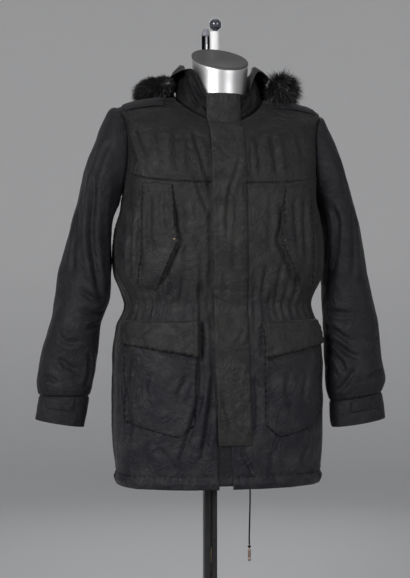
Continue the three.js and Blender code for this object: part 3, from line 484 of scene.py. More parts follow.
# Creases of the back, uneven and like those of the front
backCreases = [
    (9, 2.2, 0.6, 0.2, -150, 1400, -120, 1330, -118, 1250), (9, 2, 0.6, -0.2, 140, 1396, 126, 1320, 130, 1240),
    (8.5, 2.6, 0.6, 0.3, -186, 1300, -172, 1220, -176, 1120), (8.5, 2.5, 0.6, 0, 188, 1290, 170, 1200, 176, 1110),
    (8, 1.8, 0.5, 0, -60, 1230, -40, 1160, -52, 1080), (8, 2, 0.5, 0.2, 20, 1260, 8, 1180, 16, 1086),
    (8, 1.7, 0.6, 0, 84, 1220, 70, 1150, 80, 1074), (6.5, 2.2, 0.6, 0, -120, 1150, -108, 1100, -114, 1050),
    (6.5, 2.1, 0.6, 0, 120, 1140, 112, 1096, 118, 1046), (8, 2.4, 0.6, 0.2, -90, 1010, -98, 930, -84, 830),
    (8.5, 2.6, 0.6, 0, -30, 1008, -22, 920, -34, 800, -26, 720), (7.5, 2.1, 0.6, -0.2, 44, 1012, 36, 930, 50, 842),
    (8, 2.5, 0.6, 0, 104, 1006, 116, 910, 106, 806), (8.5, 2.4, 0.6, 0, -160, 1000, -170, 900, -156, 780),
    (8.5, 2.3, 0.6, 0, 168, 996, 176, 890, 164, 776), (7.5, 1.8, 0.6, 0, -110, 790, -86, 744, -70, 696),
    (7.5, 1.8, 0.6, 0, 80, 780, 66, 736, 72, 694),
]
bodyCreases = creasesOn(onFrontLine, frontCreases, 0.85, 2.2) + creasesOn(onBackLine, backCreases, 0.9, 2.0)

# The storm flap's middle line, and the two opening edges under it
flapHalf, flapTop, flapFoot, hemCentre = 35, 1475, 746, 13


def flapMiddle(z):
    return hemCentre * np.maximum(0, (flapTop - np.asarray(z, float)) / (flapTop - flapFoot)) ** 1.8


def rightEdge(z):
    return flapMiddle(z) - flapHalf + 12 * smoothstep(745, 800, z)


def leftEdge(z):
    return flapMiddle(z) - 6.5


def edgeColumn(r, side):
    fine = np.linspace(0, neckRow, 81)
    z = np.interp(fine, np.arange(neckRow + 1), bodyRows[:, 0])
    edge = columnAtX(fine, (rightEdge if side < 0 else leftEdge)(z))
    return np.interp(r, fine, edge)


# Rows spaced evenly along the cloth
def evenRows(low, high, column, step):
    fine = np.linspace(low, high, 200)
    line = netAt(bodyNet, fine, np.full(200, float(column)))
    along = np.concatenate([[0], np.cumsum(np.linalg.norm(np.diff(line, axis=0), axis=1))])
    count = int(along[-1] / step) + 1
    return np.interp(np.linspace(0, along[-1], count), along, fine)


# Sleeves

rightSleeve = np.array([
    (172, 1444, 172, 1270, 6, 66, 0), (224, 1451, 205, 1254, 5, 74, 0), (245, 1424, 216, 1238, 4, 75, 0.4),
    (264, 1380, 225, 1216, 3, 75, 0.8), (282, 1328, 231, 1190, 2, 74, 0.8), (300, 1264, 232, 1150, 1, 72, 0.8),
    (318, 1188, 231, 1098, 0, 69, 0.5), (336, 1108, 233, 1046, -2, 66, 1), (352, 1034, 250, 998, -5, 63, 1),
    (367, 972, 257, 952, -10, 60, 1), (379, 922, 264, 904, -15, 58, 0.9), (387, 873, 271, 864, -21, 55, 0.5),
    (381, 846, 278, 844, -25, 46, 0),
], float)
leftSleeve = np.array([
    (172, 1436, 172, 1270, 6, 66, 0), (221, 1444, 205, 1254, 5, 74, 0), (239, 1416, 216, 1238, 5, 75, 0.4),
    (259, 1370, 225, 1216, 5, 75, 0.8), (277, 1318, 231, 1186, 5, 75, 0.8), (296, 1254, 232, 1146, 5, 73, 0.8),
    (314, 1182, 231, 1098, 4, 70, 0.4), (330, 1102, 232, 1046, 2, 66, 0.5), (344, 1030, 233, 1000, -1, 62, 0.8),
    (352, 968, 234, 952, -6, 59, 0.6), (359, 918, 234, 904, -11, 57, 0.6), (365, 873, 235, 856, -16, 54, 0.4),
    (356, 844, 243, 825, -20, 46, 0),
], float)
rightCuff = np.array([
    (381, 845.6, 278, 843.6, -25, 46, 0), (386, 822, 282, 812, -27, 43, 0), (390, 796, 289, 779, -29, 41, 0),
], float)
leftCuff = np.array([
    (356, 843.6, 243, 824.6, -20, 46, 0), (361, 816, 242, 796, -23, 43, 0), (363, 788, 245, 769, -26, 41, 0),
], float)
sleeveFold = 4.2


# Points of a sleeve: r runs down its sections and turn goes round them, 0 outwards and a quarter in front
def onSleeve(rows, side, r, turn):
    r, turn = np.broadcast_arrays(np.asarray(r, float), np.asarray(turn, float))
    row = netAt(rows[:, None, :].repeat(2, 1), r, 0.0, wrapped=False)
    outerX, outerZ, innerX, innerZ, middle, depth, foldShare = np.moveaxis(row, -1, 0)
    wave = 0.6 * np.sin(2.2 * r + 2 * np.sin(turn) + side) + 0.4 * np.sin(3 * turn + 1.3 * r + side)
    outward = 0.5 + 0.5 * np.cos(turn)
    fold = foldShare * sleeveFold * wave * (0.25 + 0.75 * outward)
    rounded = lambda v: np.sign(v) * np.abs(v) ** 0.94
    across = 0.5 + (0.5 + fold / 120) * rounded(np.cos(turn))
    y = middle - (depth + fold) * rounded(np.sin(turn))
    return np.stack([side * (innerX + (outerX - innerX) * across), y, innerZ + (outerZ - innerZ) * across], -1)


# How far a point lies outside the body's cloth, level with it
def outsideBody(points):
    turn = np.arctan2(points[..., 1], points[..., 0]) % (2 * math.pi)
    column = np.interp(turn, np.append(angles, 2 * math.pi), np.arange(bodyColumns + 1))
    r = halved(column.shape, 0, neckRow, 16, lambda r: netAt(bodyNet, r, column)[..., 2] < points[..., 2])[0]
    skin = netAt(bodyNet, r, column)
    return np.hypot(points[..., 0], points[..., 1]) - np.hypot(skin[..., 0], skin[..., 1])


# The section where each line of a sleeve comes out of the body
def sleeveStart(rows, side, turn, gap=0.4):
    return halved(turn.shape, 0, 6, 20, lambda r: outsideBody(onSleeve(rows, side, r, turn)) < gap)[1]


# Materials: small builders for what several of them share

# A node whose inputs are set: an output of another node is linked, a number or colour is put on the socket
def newNode(tree, kind, values, **settings):
    node = tree.nodes.new(kind)
    for key, setting in settings.items():
        setattr(node, key, setting)
    for key, value in values.items():
        if isinstance(value, bpy.types.NodeSocket):
            tree.links.new(value, node.inputs[key])
        else:
            node.inputs[key].default_value = (*value, 1) if isinstance(value, tuple) else value
    return node


def objectPlace(tree):
    return tree.nodes.new("ShaderNodeTexCoord").outputs["Object"]


def noise(tree, scale, detail=4, rough=0.55, distortion=0.0):
    return newNode(tree, "ShaderNodeTexNoise", {
        "Vector": objectPlace(tree), "Scale": scale, "Detail": detail, "Roughness": rough, "Distortion": distortion,
    }).outputs["Fac"]


def ranged(tree, value, low, high, fromLow=0.3, fromHigh=0.7):
    return newNode(tree, "ShaderNodeMapRange", {
        "Value": value, "From Min": fromLow, "From Max": fromHigh, "To Min": low, "To Max": high,
    }).outputs["Result"]


def between(tree, share, one, other):
    mix = newNode(tree, "ShaderNodeMix", {"A": one, "B": other, "Factor": share}, data_type="RGBA")
    return mix.outputs["Result"]


def bumped(tree, height, strength, distance, before=None):
    values = {"Strength": strength, "Distance": distance, "Height": height}
    if before:
        values["Normal"] = before
    return newNode(tree, "ShaderNodeBump", values).outputs["Normal"]


# A node group with named inputs and outputs; gives its tree, the inputs' values and the outputs' sockets
def newGroup(name, colours, numbers, outputs):
    tree = bpy.data.node_groups.new(name, "ShaderNodeTree")
    for key in colours + numbers:
        kind = "NodeSocketColor" if key in colours else "NodeSocketFloat"
        tree.interface.new_socket(name=key, in_out="INPUT", socket_type=kind)
    for key, kind in outputs.items():
        tree.interface.new_socket(name=key, in_out="OUTPUT", socket_type="NodeSocket" + kind)
    return tree, tree.nodes.new("NodeGroupInput").outputs, tree.nodes.new("NodeGroupOutput").inputs


def newMaterial(name, values):
    material = bpy.data.materials.new(name)
    material.use_nodes = True
    shader = material.node_tree.nodes["Principled BSDF"]
    for key, value in values.items():
        shader.inputs[key].default_value = (*value, 1) if isinstance(value, tuple) else value
    return material, material.node_tree, shader


# Unevenness that most materials have: a colour between two others, and a number between two others
mottled, given, made = newGroup(
    "mottled", ["One", "Other"], ["Scale", "Detail", "Fine", "Distortion", "Low", "High"],
    {"Colour": "Color", "Number": "Float"})
spots = noise(mottled, given["Scale"], given["Detail"], given["Fine"], given["Distortion"])
mottled.links.new(between(mottled, spots, given["One"], given["Other"]), made["Colour"])
mottled.links.new(ranged(mottled, spots, given["Low"], given["High"]), made["Number"])


# Values go on the shader; tone is a scale and two colours, grain a scale and two values of the roughness
def mottledMaterial(name, values, tone=None, grain=None, detail=4, fine=0.55, distortion=0.0):
    material, tree, shader = newMaterial(name, values)
    shared = {"Detail": detail, "Fine": fine, "Distortion": distortion}
    if tone:
        group = newNode(tree, "ShaderNodeGroup", {"Scale": tone[0], "One": tone[1], "Other": tone[2], **shared},
                        node_tree=mottled)
        tree.links.new(group.outputs["Colour"], shader.inputs["Base Color"])
    if grain:
        group = newNode(tree, "ShaderNodeGroup", {"Scale": grain[0], "Low": grain[1], "High": grain[2], **shared},
                        node_tree=mottled)
        tree.links.new(group.outputs["Number"], shader.inputs["Roughness"])
    return material


# Waxed cloth: two tones in large soft patches, worn paler in small ones, crumpled and woven.
# It turns to its low colour from High End down to Low End, and darkens to its Dark colour from Dark Start up to Dark
# End: painted shade, as under the hood.
waxed, given, made = newGroup(
    "waxedCloth", ["Colour", "Other", "Worn", "Low", "Dark"],
    ["Low End", "High End", "Dark Start", "Dark End", "Rough Low", "Rough High", "Crumple"],
    {"Colour": "Color", "Roughness": "Float", "Normal": "Vector"})
height = newNode(waxed, "ShaderNodeSeparateXYZ", {"Vector": objectPlace(waxed)}).outputs["Z"]
tone = between(waxed, ranged(waxed, noise(waxed, 5, 3, 0.5), 0, 1, 0.4, 0.6), given["Colour"], given["Other"])
tone = between(waxed, ranged(waxed, height, 0, 1, given["Low End"], given["High End"]), given["Low"], tone)
tone = between(waxed, ranged(waxed, noise(waxed, 26, 6, 0.65), 0, 0.8, 0.42, 0.72), tone, given["Worn"])
# Painted shade: the colour turns to Dark with height, from Dark Start up to Dark End
tone = between(waxed, ranged(waxed, height, 0, 0.85, given["Dark Start"], given["Dark End"]), tone, given["Dark"])
crumple = bumped(waxed, noise(waxed, 26, 5, 0.62, 1.4), 0.9, given["Crumple"])
crumple = bumped(waxed, noise(waxed, 95, 4, 0.6, 1.0), 0.8, 0.0022, crumple)
waxed.links.new(tone, made["Colour"])
waxed.links.new(ranged(waxed, noise(waxed, 70, 3), given["Rough Low"], given["Rough High"]), made["Roughness"])
waxed.links.new(bumped(waxed, noise(waxed, 1300, 1), 0.35, 0.0002, crumple), made["Normal"])


def clothMaterial(name, look, specular=0.3, sheen=0.06):
    material, tree, shader = newMaterial(name, {
        "Specular IOR Level": specular, "Sheen Weight": sheen, "Sheen Roughness": 0.4})
    plain = {"Dark": (0.0026, 0.0025, 0.0031), "Low End": -2, "High End": -1, "Dark Start": 8, "Dark End": 9}
    group = newNode(tree, "ShaderNodeGroup", {**plain, **look}, node_tree=waxed)
    for output, socket in (("Colour", "Base Color"), ("Roughness", "Roughness"), ("Normal", "Normal")):
        tree.links.new(group.outputs[output], shader.inputs[socket])
    return material


shellCloth = clothMaterial("shellCloth", {
    "Colour": (0.0056, 0.0052, 0.0076), "Other": (0.0060, 0.0056, 0.0074), "Worn": (0.0120, 0.0114, 0.0146),
    "Rough Low": 0.52, "Rough High": 0.68, "Crumple": 0.0050,
}, specular=0.24)
# Fronts and yokes darken from 1.23 m up to 1.42 m: painted shade of the hood
frontCloth = clothMaterial("frontCloth", {
    "Colour": (0.0106, 0.0105, 0.0106), "Other": (0.0084, 0.0082, 0.0098), "Worn": (0.0225, 0.0220, 0.0225),
    "Low": (0.0042, 0.0037, 0.0078), "Low End": 0.84, "High End": 1.06, "Dark Start": 1.23, "Dark End": 1.42,
    "Rough Low": 0.49, "Rough High": 0.65, "Crumple": 0.0078,
})
flapCloth = clothMaterial("flapCloth", {
    "Colour": (0.0108, 0.0107, 0.0101), "Other": (0.0086, 0.0085, 0.0085), "Worn": (0.0255, 0.0251, 0.0238),
    "Rough Low": 0.48, "Rough High": 0.64, "Crumple": 0.0082,
})
# The hood darkens from 1.485 m up to 1.525 m: painted shade
hoodLook = clothMaterial("hoodCloth", {
    "Colour": (0.0034, 0.0032, 0.0041), "Other": (0.0037, 0.0035, 0.0042), "Worn": (0.0078, 0.0075, 0.0088),
    "Dark Start": 1.485, "Dark End": 1.525, "Rough Low": 0.52, "Rough High": 0.68, "Crumple": 0.0060,
}, specular=0.18, sheen=0.03)
liningCloth, tree, shader = newMaterial("liningCloth", {
    "Base Color": (0.006, 0.006, 0.0068), "Roughness": 0.6, "Sheen Weight": 0.1})
tree.links.new(bumped(tree, noise(tree, 300, 3), 0.3, 0.0005), shader.inputs["Normal"])
lightThread = mottledMaterial("lightThread", {"Roughness": 0.6}, (260, (0.035, 0.035, 0.034), (0.075, 0.075, 0.072)))
# Dark thread of the stitches and cord; it also colours the long dark strips of painted seam shade
darkThreadAndShade = mottledMaterial("darkThreadAndShade", {"Roughness": 0.6, "Specular IOR Level": 0.12},
                             (260, (0.0015, 0.0015, 0.0017), (0.0045, 0.0045, 0.005)))


# Body panels

sleeves = {-1: rightSleeve, 1: leftSleeve}


# Which faces of a net lie clear of the armholes: the inside of each sleeve's head is open
def clearOfArmholes(net):
    keep = np.ones((net.shape[0] - 1, net.shape[1] - 1), bool)
    middle = (net[1:, 1:] + net[:-1, :-1]) / 2
    for side, rows in sleeves.items():
        turns = np.linspace(0, 2 * math.pi, 48, endpoint=False)
        ring = onSleeve(rows, side, sleeveStart(rows, side, turns), turns)[:, 1:]
        centre = ring.mean(0)
        rim, spot = ring - centre, middle[..., 1:] - centre
        angle = np.arctan2(rim[:, 1], rim[:, 0])
        order = np.argsort(angle)
        far = np.hypot(rim[:, 0], rim[:, 1])
        reach = np.interp(np.arctan2(spot[..., 1], spot[..., 0]), angle[order], far[order], period=2 * math.pi)
        keep &= ~((np.hypot(spot[..., 0], spot[..., 1]) < reach - 8) & (middle[..., 0] * side > 100))
    return keep


# The relief that everything lying on the body shares
def bodyRelief(base, normals):
    return creased(base, normals, bodyCreases) + unevenness(base, 95, 1.3, 3) + unevenness(base, 34, 0.5, 8)


def waistGathers(base):
    along = np.arctan2(base[..., 1], base[..., 0]) * 190
    wave = np.sin(2 * math.pi * along / 17 + 1.6 * np.sin(along / 37))
    wave += 0.5 * np.sin(2 * math.pi * along / 9.5 + 1)
    z = base[..., 2]
    band = np.exp(-((z - 1034) / 26) ** 2) + 0.45 * np.exp(-((z - 1040) / 55) ** 2)
    return 2.0 * wave * (0.6 + 0.4 * np.sin(along / 29)) * band


# A double seam: cloth sinks at its edge and rises between two rows of thread, in small waves
def seamRelief(far, along, seed, depth=1.3, pitch=13.0, height=0.55):
    sunk = -depth * np.exp(-(far / 2.6) ** 2) + 0.35 * np.exp(-((far - 6) / 2.4) ** 2)
    sunk -= 0.35 * np.exp(-((far - 9.5) / 1.6) ** 2)
    return sunk + puckers(far - 4, along, 12, pitch, height, seed)


# The hem's tunnel: a groove along its seam and the puckers above it
def hemRelief(foot, along, seed):
    return puckers(foot - 22, along, 17, 13.0, 1.5, seed) - 2.4 * np.exp(-((foot - 27) / 2.6) ** 2)


# The line of a net where field, which changes along each row, has a value
def lineAt(net, normals, field, value):
    path, facing = [], []
    for p, n, f in zip(net, normals, field):
        if f[0] > f[-1]:
            p, n, f = p[::-1], n[::-1], f[::-1]
        path.append([np.interp(value, f, p[:, k]) for k in range(3)])
        facing.append([np.interp(value, f, n[:, k]) for k in range(3)])
    return np.array(path), np.array(facing)


def stitchAlong(net, normals, field, values, kind="dark", across=False, span=(0, 1), **sizes):
    if across:
        net, normals, field = (np.swapaxes(a, 0, 1) for a in (net, normals, field))
    for value in values:
        path, facing = lineAt(net, normals, field, value)
        low, high = (int(round(s * (len(path) - 1))) for s in span)
        stitch(path[low:high + 1] + 0.12 * facing[low:high + 1], facing[low:high + 1], kind, **sizes)


def clothPiece(name, node, net, normals, material, thick=1.5, wrapped=False, keep=None,
               allowance=2):
    piece = shell(name, net, thick, wrapped, keep, normals)
    piece.data.materials.append(material)
    piece.data.materials.append(liningCloth)
    count = len(piece.data.polygons)
    outer = int(keep.sum()) if keep is not None else (net.shape[0] - 1) * (net.shape[1] - (0 if wrapped else 1))
    piece.data.polygons.foreach_set("material_index", [1 if outer <= k < 2 * outer else 0 for k in range(count)])
    placed(piece, node)
    closed = closedUp(net) if wrapped else net
    width = round((lengthsOf(closed, 1)[:, -1].max() + allowance) / 1000, 3)
    length = round((lengthsOf(closed, 0)[-1].max() + allowance) / 1000, 3)
    area = areaOf(closed) * 0.97
    width = min(width, round(area / (0.6 * length), 3))
    area = min(area, width * length)
    print("cloth", name, width, length, round(area, 4), len(piece.data.polygons))


# Dark gaps: the fronts sink beside the edges that stand off them
openEdges = [
    ([(-111, 1240), (-108, 1195), (-100, 1166), (-108, 1145), (-129, 1095), (-141, 1066)], 5.0, 6.5),
    ([(113, 1240), (109, 1195), (102, 1166), (112, 1145), (136, 1095), (153, 1063)], 5.0, 6.5),
    ([(-39, 1405), (-39, 1300), (-38, 1150), (-35, 1000), (-30, 880), (-23, 770)], 5.0, 5.6),
]
flapGapLines = [
    ([(-207, 950), (-130, 936), (-58, 922)], 4.5, 4.2),
    ([(75, 919), (150, 934), (208, 949)], 4.5, 4.2),
    ([(-50, 994), (-52, 960), (-55, 926)], 4.5, 5.0),
    ([(65, 990), (69, 958), (71, 924)], 4.5, 5.0),
]
gapCreases = [creaseOf(onFrontLine(*stops), width, depth, 0.1, 0.12) for stops, width, depth in openEdges]
flapGaps = [creaseOf(onFrontLine(*stops), width, depth, 0.1, 0.08) for stops, width, depth in flapGapLines]


def bodyPanel(name, node, side, first, last, seed, step=3.7):
    seamColumn = backColumns if side < 0 else bodyColumns
    rows = evenRows(first, last, frontMiddle - 7 if side < 0 else frontMiddle + 7, step)
    edge = edgeColumn(rows, side)
    columns = seamColumn + (edge - seamColumn)[:, None] * np.linspace(0, 1, int(250 / step))
    base = onBody(rows[:, None], columns)
    normals = normalsOf(base)
    left, right, foot, head = edgeDistances(base)
    relief = bodyRelief(base, normals) + waistGathers(base) * smoothstep(2, 60, right)
    relief += seamRelief(left, foot, seed) + creased(base, normals, gapCreases + flapGaps)
    if first == 0:
        relief += hemRelief(foot, left, seed + 1)
        relief += seamRelief(head, left, seed + 2, depth=0.7, pitch=9.5, height=0.9)
        gathers = puckers(head - 14, left, 20, 9.0, 1.3, seed) * np.exp(-((left - 62) / 48) ** 2)
        relief += gathers * (head < 70)
    else:
        relief += seamRelief(foot, left, seed + 3, depth=0.5, pitch=11.0, height=0.6)
    net, normals = raised(base, normals, relief)
    clothPiece(name, node, net, normals, frontCloth, keep=clearOfArmholes(net))
    left, right, foot, head = edgeDistances(net)
    if first == 0:
        stitchAlong(net, normals, foot, (25.5, 29.0), across=True)
        # A long dark strip in the hem's groove between the two rows of thread: painted shade
        stitchAlong(net, normals, foot, (27.2,), across=True, length=14, gap=0.5, wide=0.95)
        stitchAlong(net, normals, head, (3.5, 9.5), across=True)
        stitchAlong(net, normals, left, (3.5, 9.5), span=(0, 0.8))
        stitchAlong(net, normals, right, (4.0,))
    else:
        stitchAlong(net, normals, foot, (3.5, 9.5), across=True)


bodyPanel("frontRight", "front_right", -1, 0, yokeRow, 1)
bodyPanel("frontLeft", "front_left", 1, 0, yokeRow, 2)
bodyPanel("yokeRight", "yoke_right", -1, yokeRow + 0.006, neckRow, 3)
bodyPanel("yokeLeft", "yoke_left", 1, yokeRow + 0.006, neckRow, 4)
print("fronts made")


def backPanel(step=4.2):
    rows = evenRows(0, neckRow, 14, step)
    columns = np.linspace(0.04, backColumns - 0.04, int(590 / step))
    base = onBody(rows[:, None], columns[None, :])
    normals = normalsOf(base)
    left, right, foot, head = edgeDistances(base)
    relief = bodyRelief(base, normals) + waistGathers(base)
    relief += seamRelief(left, foot, 5) + seamRelief(right, foot, 6)
    relief += hemRelief(foot, left, 7)
    net, normals = raised(base, normals, relief)
    clothPiece("backPanel", "back", net, normals, shellCloth, keep=clearOfArmholes(net))
    left, right, foot, head = edgeDistances(net)
    stitchAlong(net, normals, foot, (25.5, 29.0), across=True)
    stitchAlong(net, normals, left, (3.5, 9.5), span=(0, 0.7))
    stitchAlong(net, normals, right, (3.5, 9.5), span=(0, 0.7))


backPanel()
print("back made")

# Sleeves and cuffs

# Creases of each sleeve by section and turn, the front of the sleeve at a quarter turn
sleeveCreases = {
    -1: [
        (8.5, 4.4, 0.6, 0.4, 3.4, 0.75, 4.5, 1.2, 5.6, 1.45, 6.6, 1.85, 7.6, 2.5),
        (8, 3.4, 0.5, 0, 2.4, 2.1, 3.8, 2.45, 5, 2.65, 6.3, 2.75),
        (6.5, 2.8, 0.6, 0.2, 7.25, 1.25, 7.35, 1.9, 7.15, 2.6), (6.5, 2.8, 0.6, 0, 7.9, 1.4, 7.85, 2.1, 7.6, 2.75),
        (6, 2.2, 0.6, 0, 8.5, 1.9, 8.3, 2.4, 8.1, 2.9), (7, 2.2, 0.6, 0, 8.9, 0.9, 9.15, 1.4, 9, 1.9),
        (7, 2.6, 0.6, 0.2, 9.8, 1.1, 10.1, 1.5, 10.3, 1.95), (7, 2.6, 0.6, 0, 9.3, 2.2, 10.2, 2.45, 11.3, 2.3),
        (6.5, 2.2, 0.6, 0, 10.9, 0.5, 10.7, 0.95, 11, 1.4), (8.5, 1.9, 0.6, 0, 5.2, 0.5, 6.3, 0.8, 7.1, 0.95),
        (9, 2, 0.6, 0, 1.8, 1.2, 2.8, 1.05, 4, 1.15), (7, 2.8, 0.6, 0.2, 7.1, -1.3, 7.4, -1.9, 7.2, -2.6),
        (7, 2.8, 0.6, 0, 7.9, -1.1, 8, -1.8, 7.8, -2.6), (8.5, 3.2, 0.6, 0.3, 3.2, -0.9, 4.6, -1.4, 6, -1.8),
        (7, 2.4, 0.6, 0, 9.2, -1, 9.7, -1.5, 9.6, -2.1), (7, 2.2, 0.6, 0, 10.6, -0.7, 10.9, -1.3, 10.7, -1.9),
    ],
    1: [
        (6.5, 3.2, 0.6, 0.2, 8.2, 2.95, 8.6, 2.35, 9.2, 1.75),
        (6.5, 3.2, 0.6, 0, 8.75, 2.95, 9.1, 2.4, 9.6, 1.9, 9.9, 1.5),
        (6.5, 2.8, 0.6, 0, 9.3, 2.8, 9.8, 2.35, 10.5, 2), (6.5, 2.6, 0.6, 0, 7.5, 2.9, 7.8, 2.25, 8, 1.65),
        (8.5, 3.4, 0.6, 0.2, 2.8, 2.2, 4.2, 2, 5.4, 2.2, 6.4, 2.5), (9, 2.2, 0.6, 0, 4.5, 1.05, 5.8, 1.25, 7, 1.6),
        (6.5, 2.4, 0.6, 0, 10.9, 1.5, 10.6, 1, 10.5, 0.5), (6.5, 2.8, 0.6, 0, 10.2, 1.7, 10.9, 2.1, 11.4, 2.6),
        (9, 2, 0.6, 0, 2, 1.25, 3.2, 1.1, 4.4, 1.2), (7.5, 1.7, 0.6, 0, 9, 0.5, 9.2, 0.95, 8.9, 1.3),
        (7, 2.8, 0.6, 0.2, 7, -1.3, 7.4, -1.9, 7.2, -2.6), (7, 2.8, 0.6, 0, 7.9, -1.2, 8.1, -1.9, 7.8, -2.7),
        (8.5, 3.2, 0.6, 0.3, 3, -0.8, 4.6, -1.3, 6.2, -1.9), (7, 2.4, 0.6, 0, 9.4, -0.9, 9.7, -1.6, 9.5, -2.2),
        (7, 2.2, 0.6, 0, 10.6, -0.6, 10.9, -1.2, 10.6, -1.9),
    ],
}
for side, table in sleeveCreases.items():
    sleeveCreases[side] = creasesOn(lambda *stops: onSleeve(sleeves[side], side, *np.transpose(stops)), table,
                                    wider=0.9, deeper=1.9)


def sleevePiece(name, node, side, step=4.0):
    rows = sleeves[side]
    turns = np.linspace(0, 2 * math.pi, int(440 / step), endpoint=False)
    starts = sleeveStart(rows, side, turns)
    share = np.linspace(0, 1, int(630 / step))[:, None]
    base = onSleeve(rows, side, starts + (len(rows) - 1 - starts) * share, turns[None, :])
    normals = normalsOf(base, True)
    head = lengthsOf(base, 0)
    foot = head[-1:] - head
    around = lengthsOf(closedUp(base), 1)[:, :-1]
    relief = creased(base, normals, sleeveCreases[side]) * smoothstep(0, 25, head)
    relief += unevenness(base, 80, 1.1, 11 + side) + unevenness(base, 30, 0.35, 12)
    relief += -2.6 * np.exp(-(head / 5) ** 2) + puckers(head, around, 16, 14.0, 0.7, 1 + side)
    relief += seamRelief(foot, around, 2 + side, height=0.8)
    net, normals = raised(base, normals, relief, True)
    clothPiece(name, node, net, normals, shellCloth, wrapped=True)
    stitchAlong(net, normals, lengthsOf(net, 0)[-1:] - lengthsOf(net, 0), (4.0, 9.5), across=True)


def cuffPiece(name, node, side, rows, step=4.0):
    turns = np.linspace(0, 2 * math.pi, int(330 / step), endpoint=False)
    down = np.linspace(0, 2, int(80 / step))[:, None]
    base = onSleeve(rows, side, down, turns[None, :])
    normals = normalsOf(base, True)
    head = lengthsOf(base, 0)
    foot = head[-1:] - head
    around = lengthsOf(closedUp(base), 1)[:, :-1]
    relief = -1.8 * np.exp(-(head / 3) ** 2) + puckers(head - 4, around, 12, 12.0, 0.6, 4)
    relief += puckers(foot - 8, around, 14, 17.0, 0.8, 5) + unevenness(base, 45, 1.0, 13 + side)
    net, normals = raised(base, normals, relief, True)
    clothPiece(name, node, net, normals, shellCloth, thick=2.0, wrapped=True)
    stitchAlong(net, normals, foot, (8.0,), across=True)


sleevePiece("sleeveRight", "sleeve_right", -1)
sleevePiece("sleeveLeft", "sleeve_left", 1)
cuffPiece("cuffRight", "cuff_right", -1, rightCuff)
cuffPiece("cuffLeft", "cuff_left", 1, leftCuff)
print("sleeves made")

# Patches on the fronts, laid out between control points given by their places in the front view

def spread(control, step=3.4):
    stops = np.array([np.stack(frontPlace(*np.array(line, float).T), -1) for line in control])
    corners = onBody(stops[..., 0], stops[..., 1])
    tall = np.linalg.norm(np.diff(corners, axis=0), axis=-1).mean(1).sum()
    wide = np.linalg.norm(np.diff(corners, axis=1), axis=-1).mean(0).sum()
    r = np.linspace(0, len(control) - 1, max(8, int(tall / step)))[:, None]
    c = np.linspace(0, len(control[0]) - 1, max(8, int(wide / step)))[None, :]
    low, left = np.minimum(r.astype(int), len(control) - 2), np.minimum(c.astype(int), len(control[0]) - 2)
    t, s = (r - low)[..., None], (c - left)[..., None]
    pick = lambda i, j: stops[low + i, left + j]
    places = (1 - t) * ((1 - s) * pick(0, 0) + s * pick(0, 1)) + t * ((1 - s) * pick(1, 0) + s * pick(1, 1))
    return places[..., 0], places[..., 1]


# A patch between its control points. reliefAt gives its height from the distances to its left, right, top and
# bottom edges, and rows holds the edges along which it is sewn, each with the distances and kind of its thread; an
# edge with dark thread also gets a long dark strip of painted shade at its rim.
def patchPiece(name, node, side, control, reliefAt, rows, thick, material):
    base = onBody(*spread(control))
    normals = normalsOf(base)
    relief = bodyRelief(base, normals) + reliefAt(base, *edgeDistances(base), side, len(name))
    net, normals = raised(base, normals, relief)
    clothPiece(name, node, net, normals, material, thick=thick)
    fields = dict(zip(("left", "right", "top", "bottom"), edgeDistances(net)))
    for edge, values, kind in rows:
        across = edge in ("top", "bottom")
        stitchAlong(net, normals, fields[edge], values, kind, across=across)
        # Along each edge sewn with dark thread, a long dark strip at its rim: painted shade of the seam
        if kind == "dark":
            stitchAlong(net, normals, fields[edge], (0.5,), across=across, length=13, gap=0.3, wide=1.2)


def bulge(a, reach):
    return 1 - np.exp(-(np.maximum(a, 0) / reach) ** 1.5)


# The bag of a lower pocket: full in its middle and sewn down on three sides
def bagRelief(base, left, right, top, bottom, side, seed):
    sewn = seamRelief(left, top, seed, 0.4, height=0.5) + seamRelief(right, top, seed + 1, 0.4, height=0.5)
    sewn += seamRelief(bottom, left, seed + 2, 0.4, height=0.6) + creased(base, normalsOf(base), flapGaps)
    return 1.7 + 3.6 * bulge(np.minimum(left, right), 26) * bulge(bottom, 30) + sewn


# A flap stands off below its seam and is pressed in at its two lower corners
def flapRelief(base, left, right, top, bottom, side, seed):
    inner, outer = (right, left) if side < 0 else (left, right)
    pressed = 3.4 * np.exp(-(((bottom - 15) / 9) ** 2 + ((inner - 17) / 9) ** 2))
    pressed += 2.0 * np.exp(-(((bottom - 12) / 8) ** 2 + ((outer - 16) / 9) ** 2))
    sewn = seamRelief(top, left, seed, 2.2, height=0.5) - 0.45 * np.exp(-((bottom - 5) / 1.6) ** 2)
    sewn += puckers(bottom - 2, left, 10, 21.0, 0.8, 3) + puckers(left, top, 7, 15.0, 0.5, 2)
    return 5.2 + 3.4 * smoothstep(0, 30, top) - pressed + sewn


# A chest pocket's panel gapes along its inner edge
def chestRelief(base, left, right, top, bottom, side, seed):
    inner, outer = (right, left) if side < 0 else (left, right)
    gape = 6.6 * np.exp(-(inner / 26) ** 2) * smoothstep(0, 60, top) * smoothstep(0, 60, bottom)
    sewn = puckers(outer, top, 8, 12.0, 0.5, 4) + puckers(inner - 5, top, 10, 17.0, 0.6, 6)
    return 2.0 + gape + bulge(np.minimum(left, right), 18) + sewn - 0.5 * np.exp(-((inner - 7) / 1.6) ** 2)


patchKinds = {
    "bag": {"reliefAt": bagRelief, "thick": 1.3, "material": frontCloth, "rows": [
        ("left", (3.0, 8.5), "dark"), ("right", (3.0, 8.5), "dark"), ("bottom", (3.0, 8.5), "dark")]},
    "flap": {"reliefAt": flapRelief, "thick": 2.4, "material": flapCloth, "rows": [
        ("top", (3.0, 8.0), "light"), ("bottom", (5.5,), "dark"), ("left", (5.0,), "dark"),
        ("right", (5.0,), "dark")]},
    "chest": {"reliefAt": chestRelief, "thick": 1.6, "material": frontCloth, "rows": [
        ("left", (3.0, 8.5), "dark"), ("right", (3.0, 8.5), "dark")]},
}
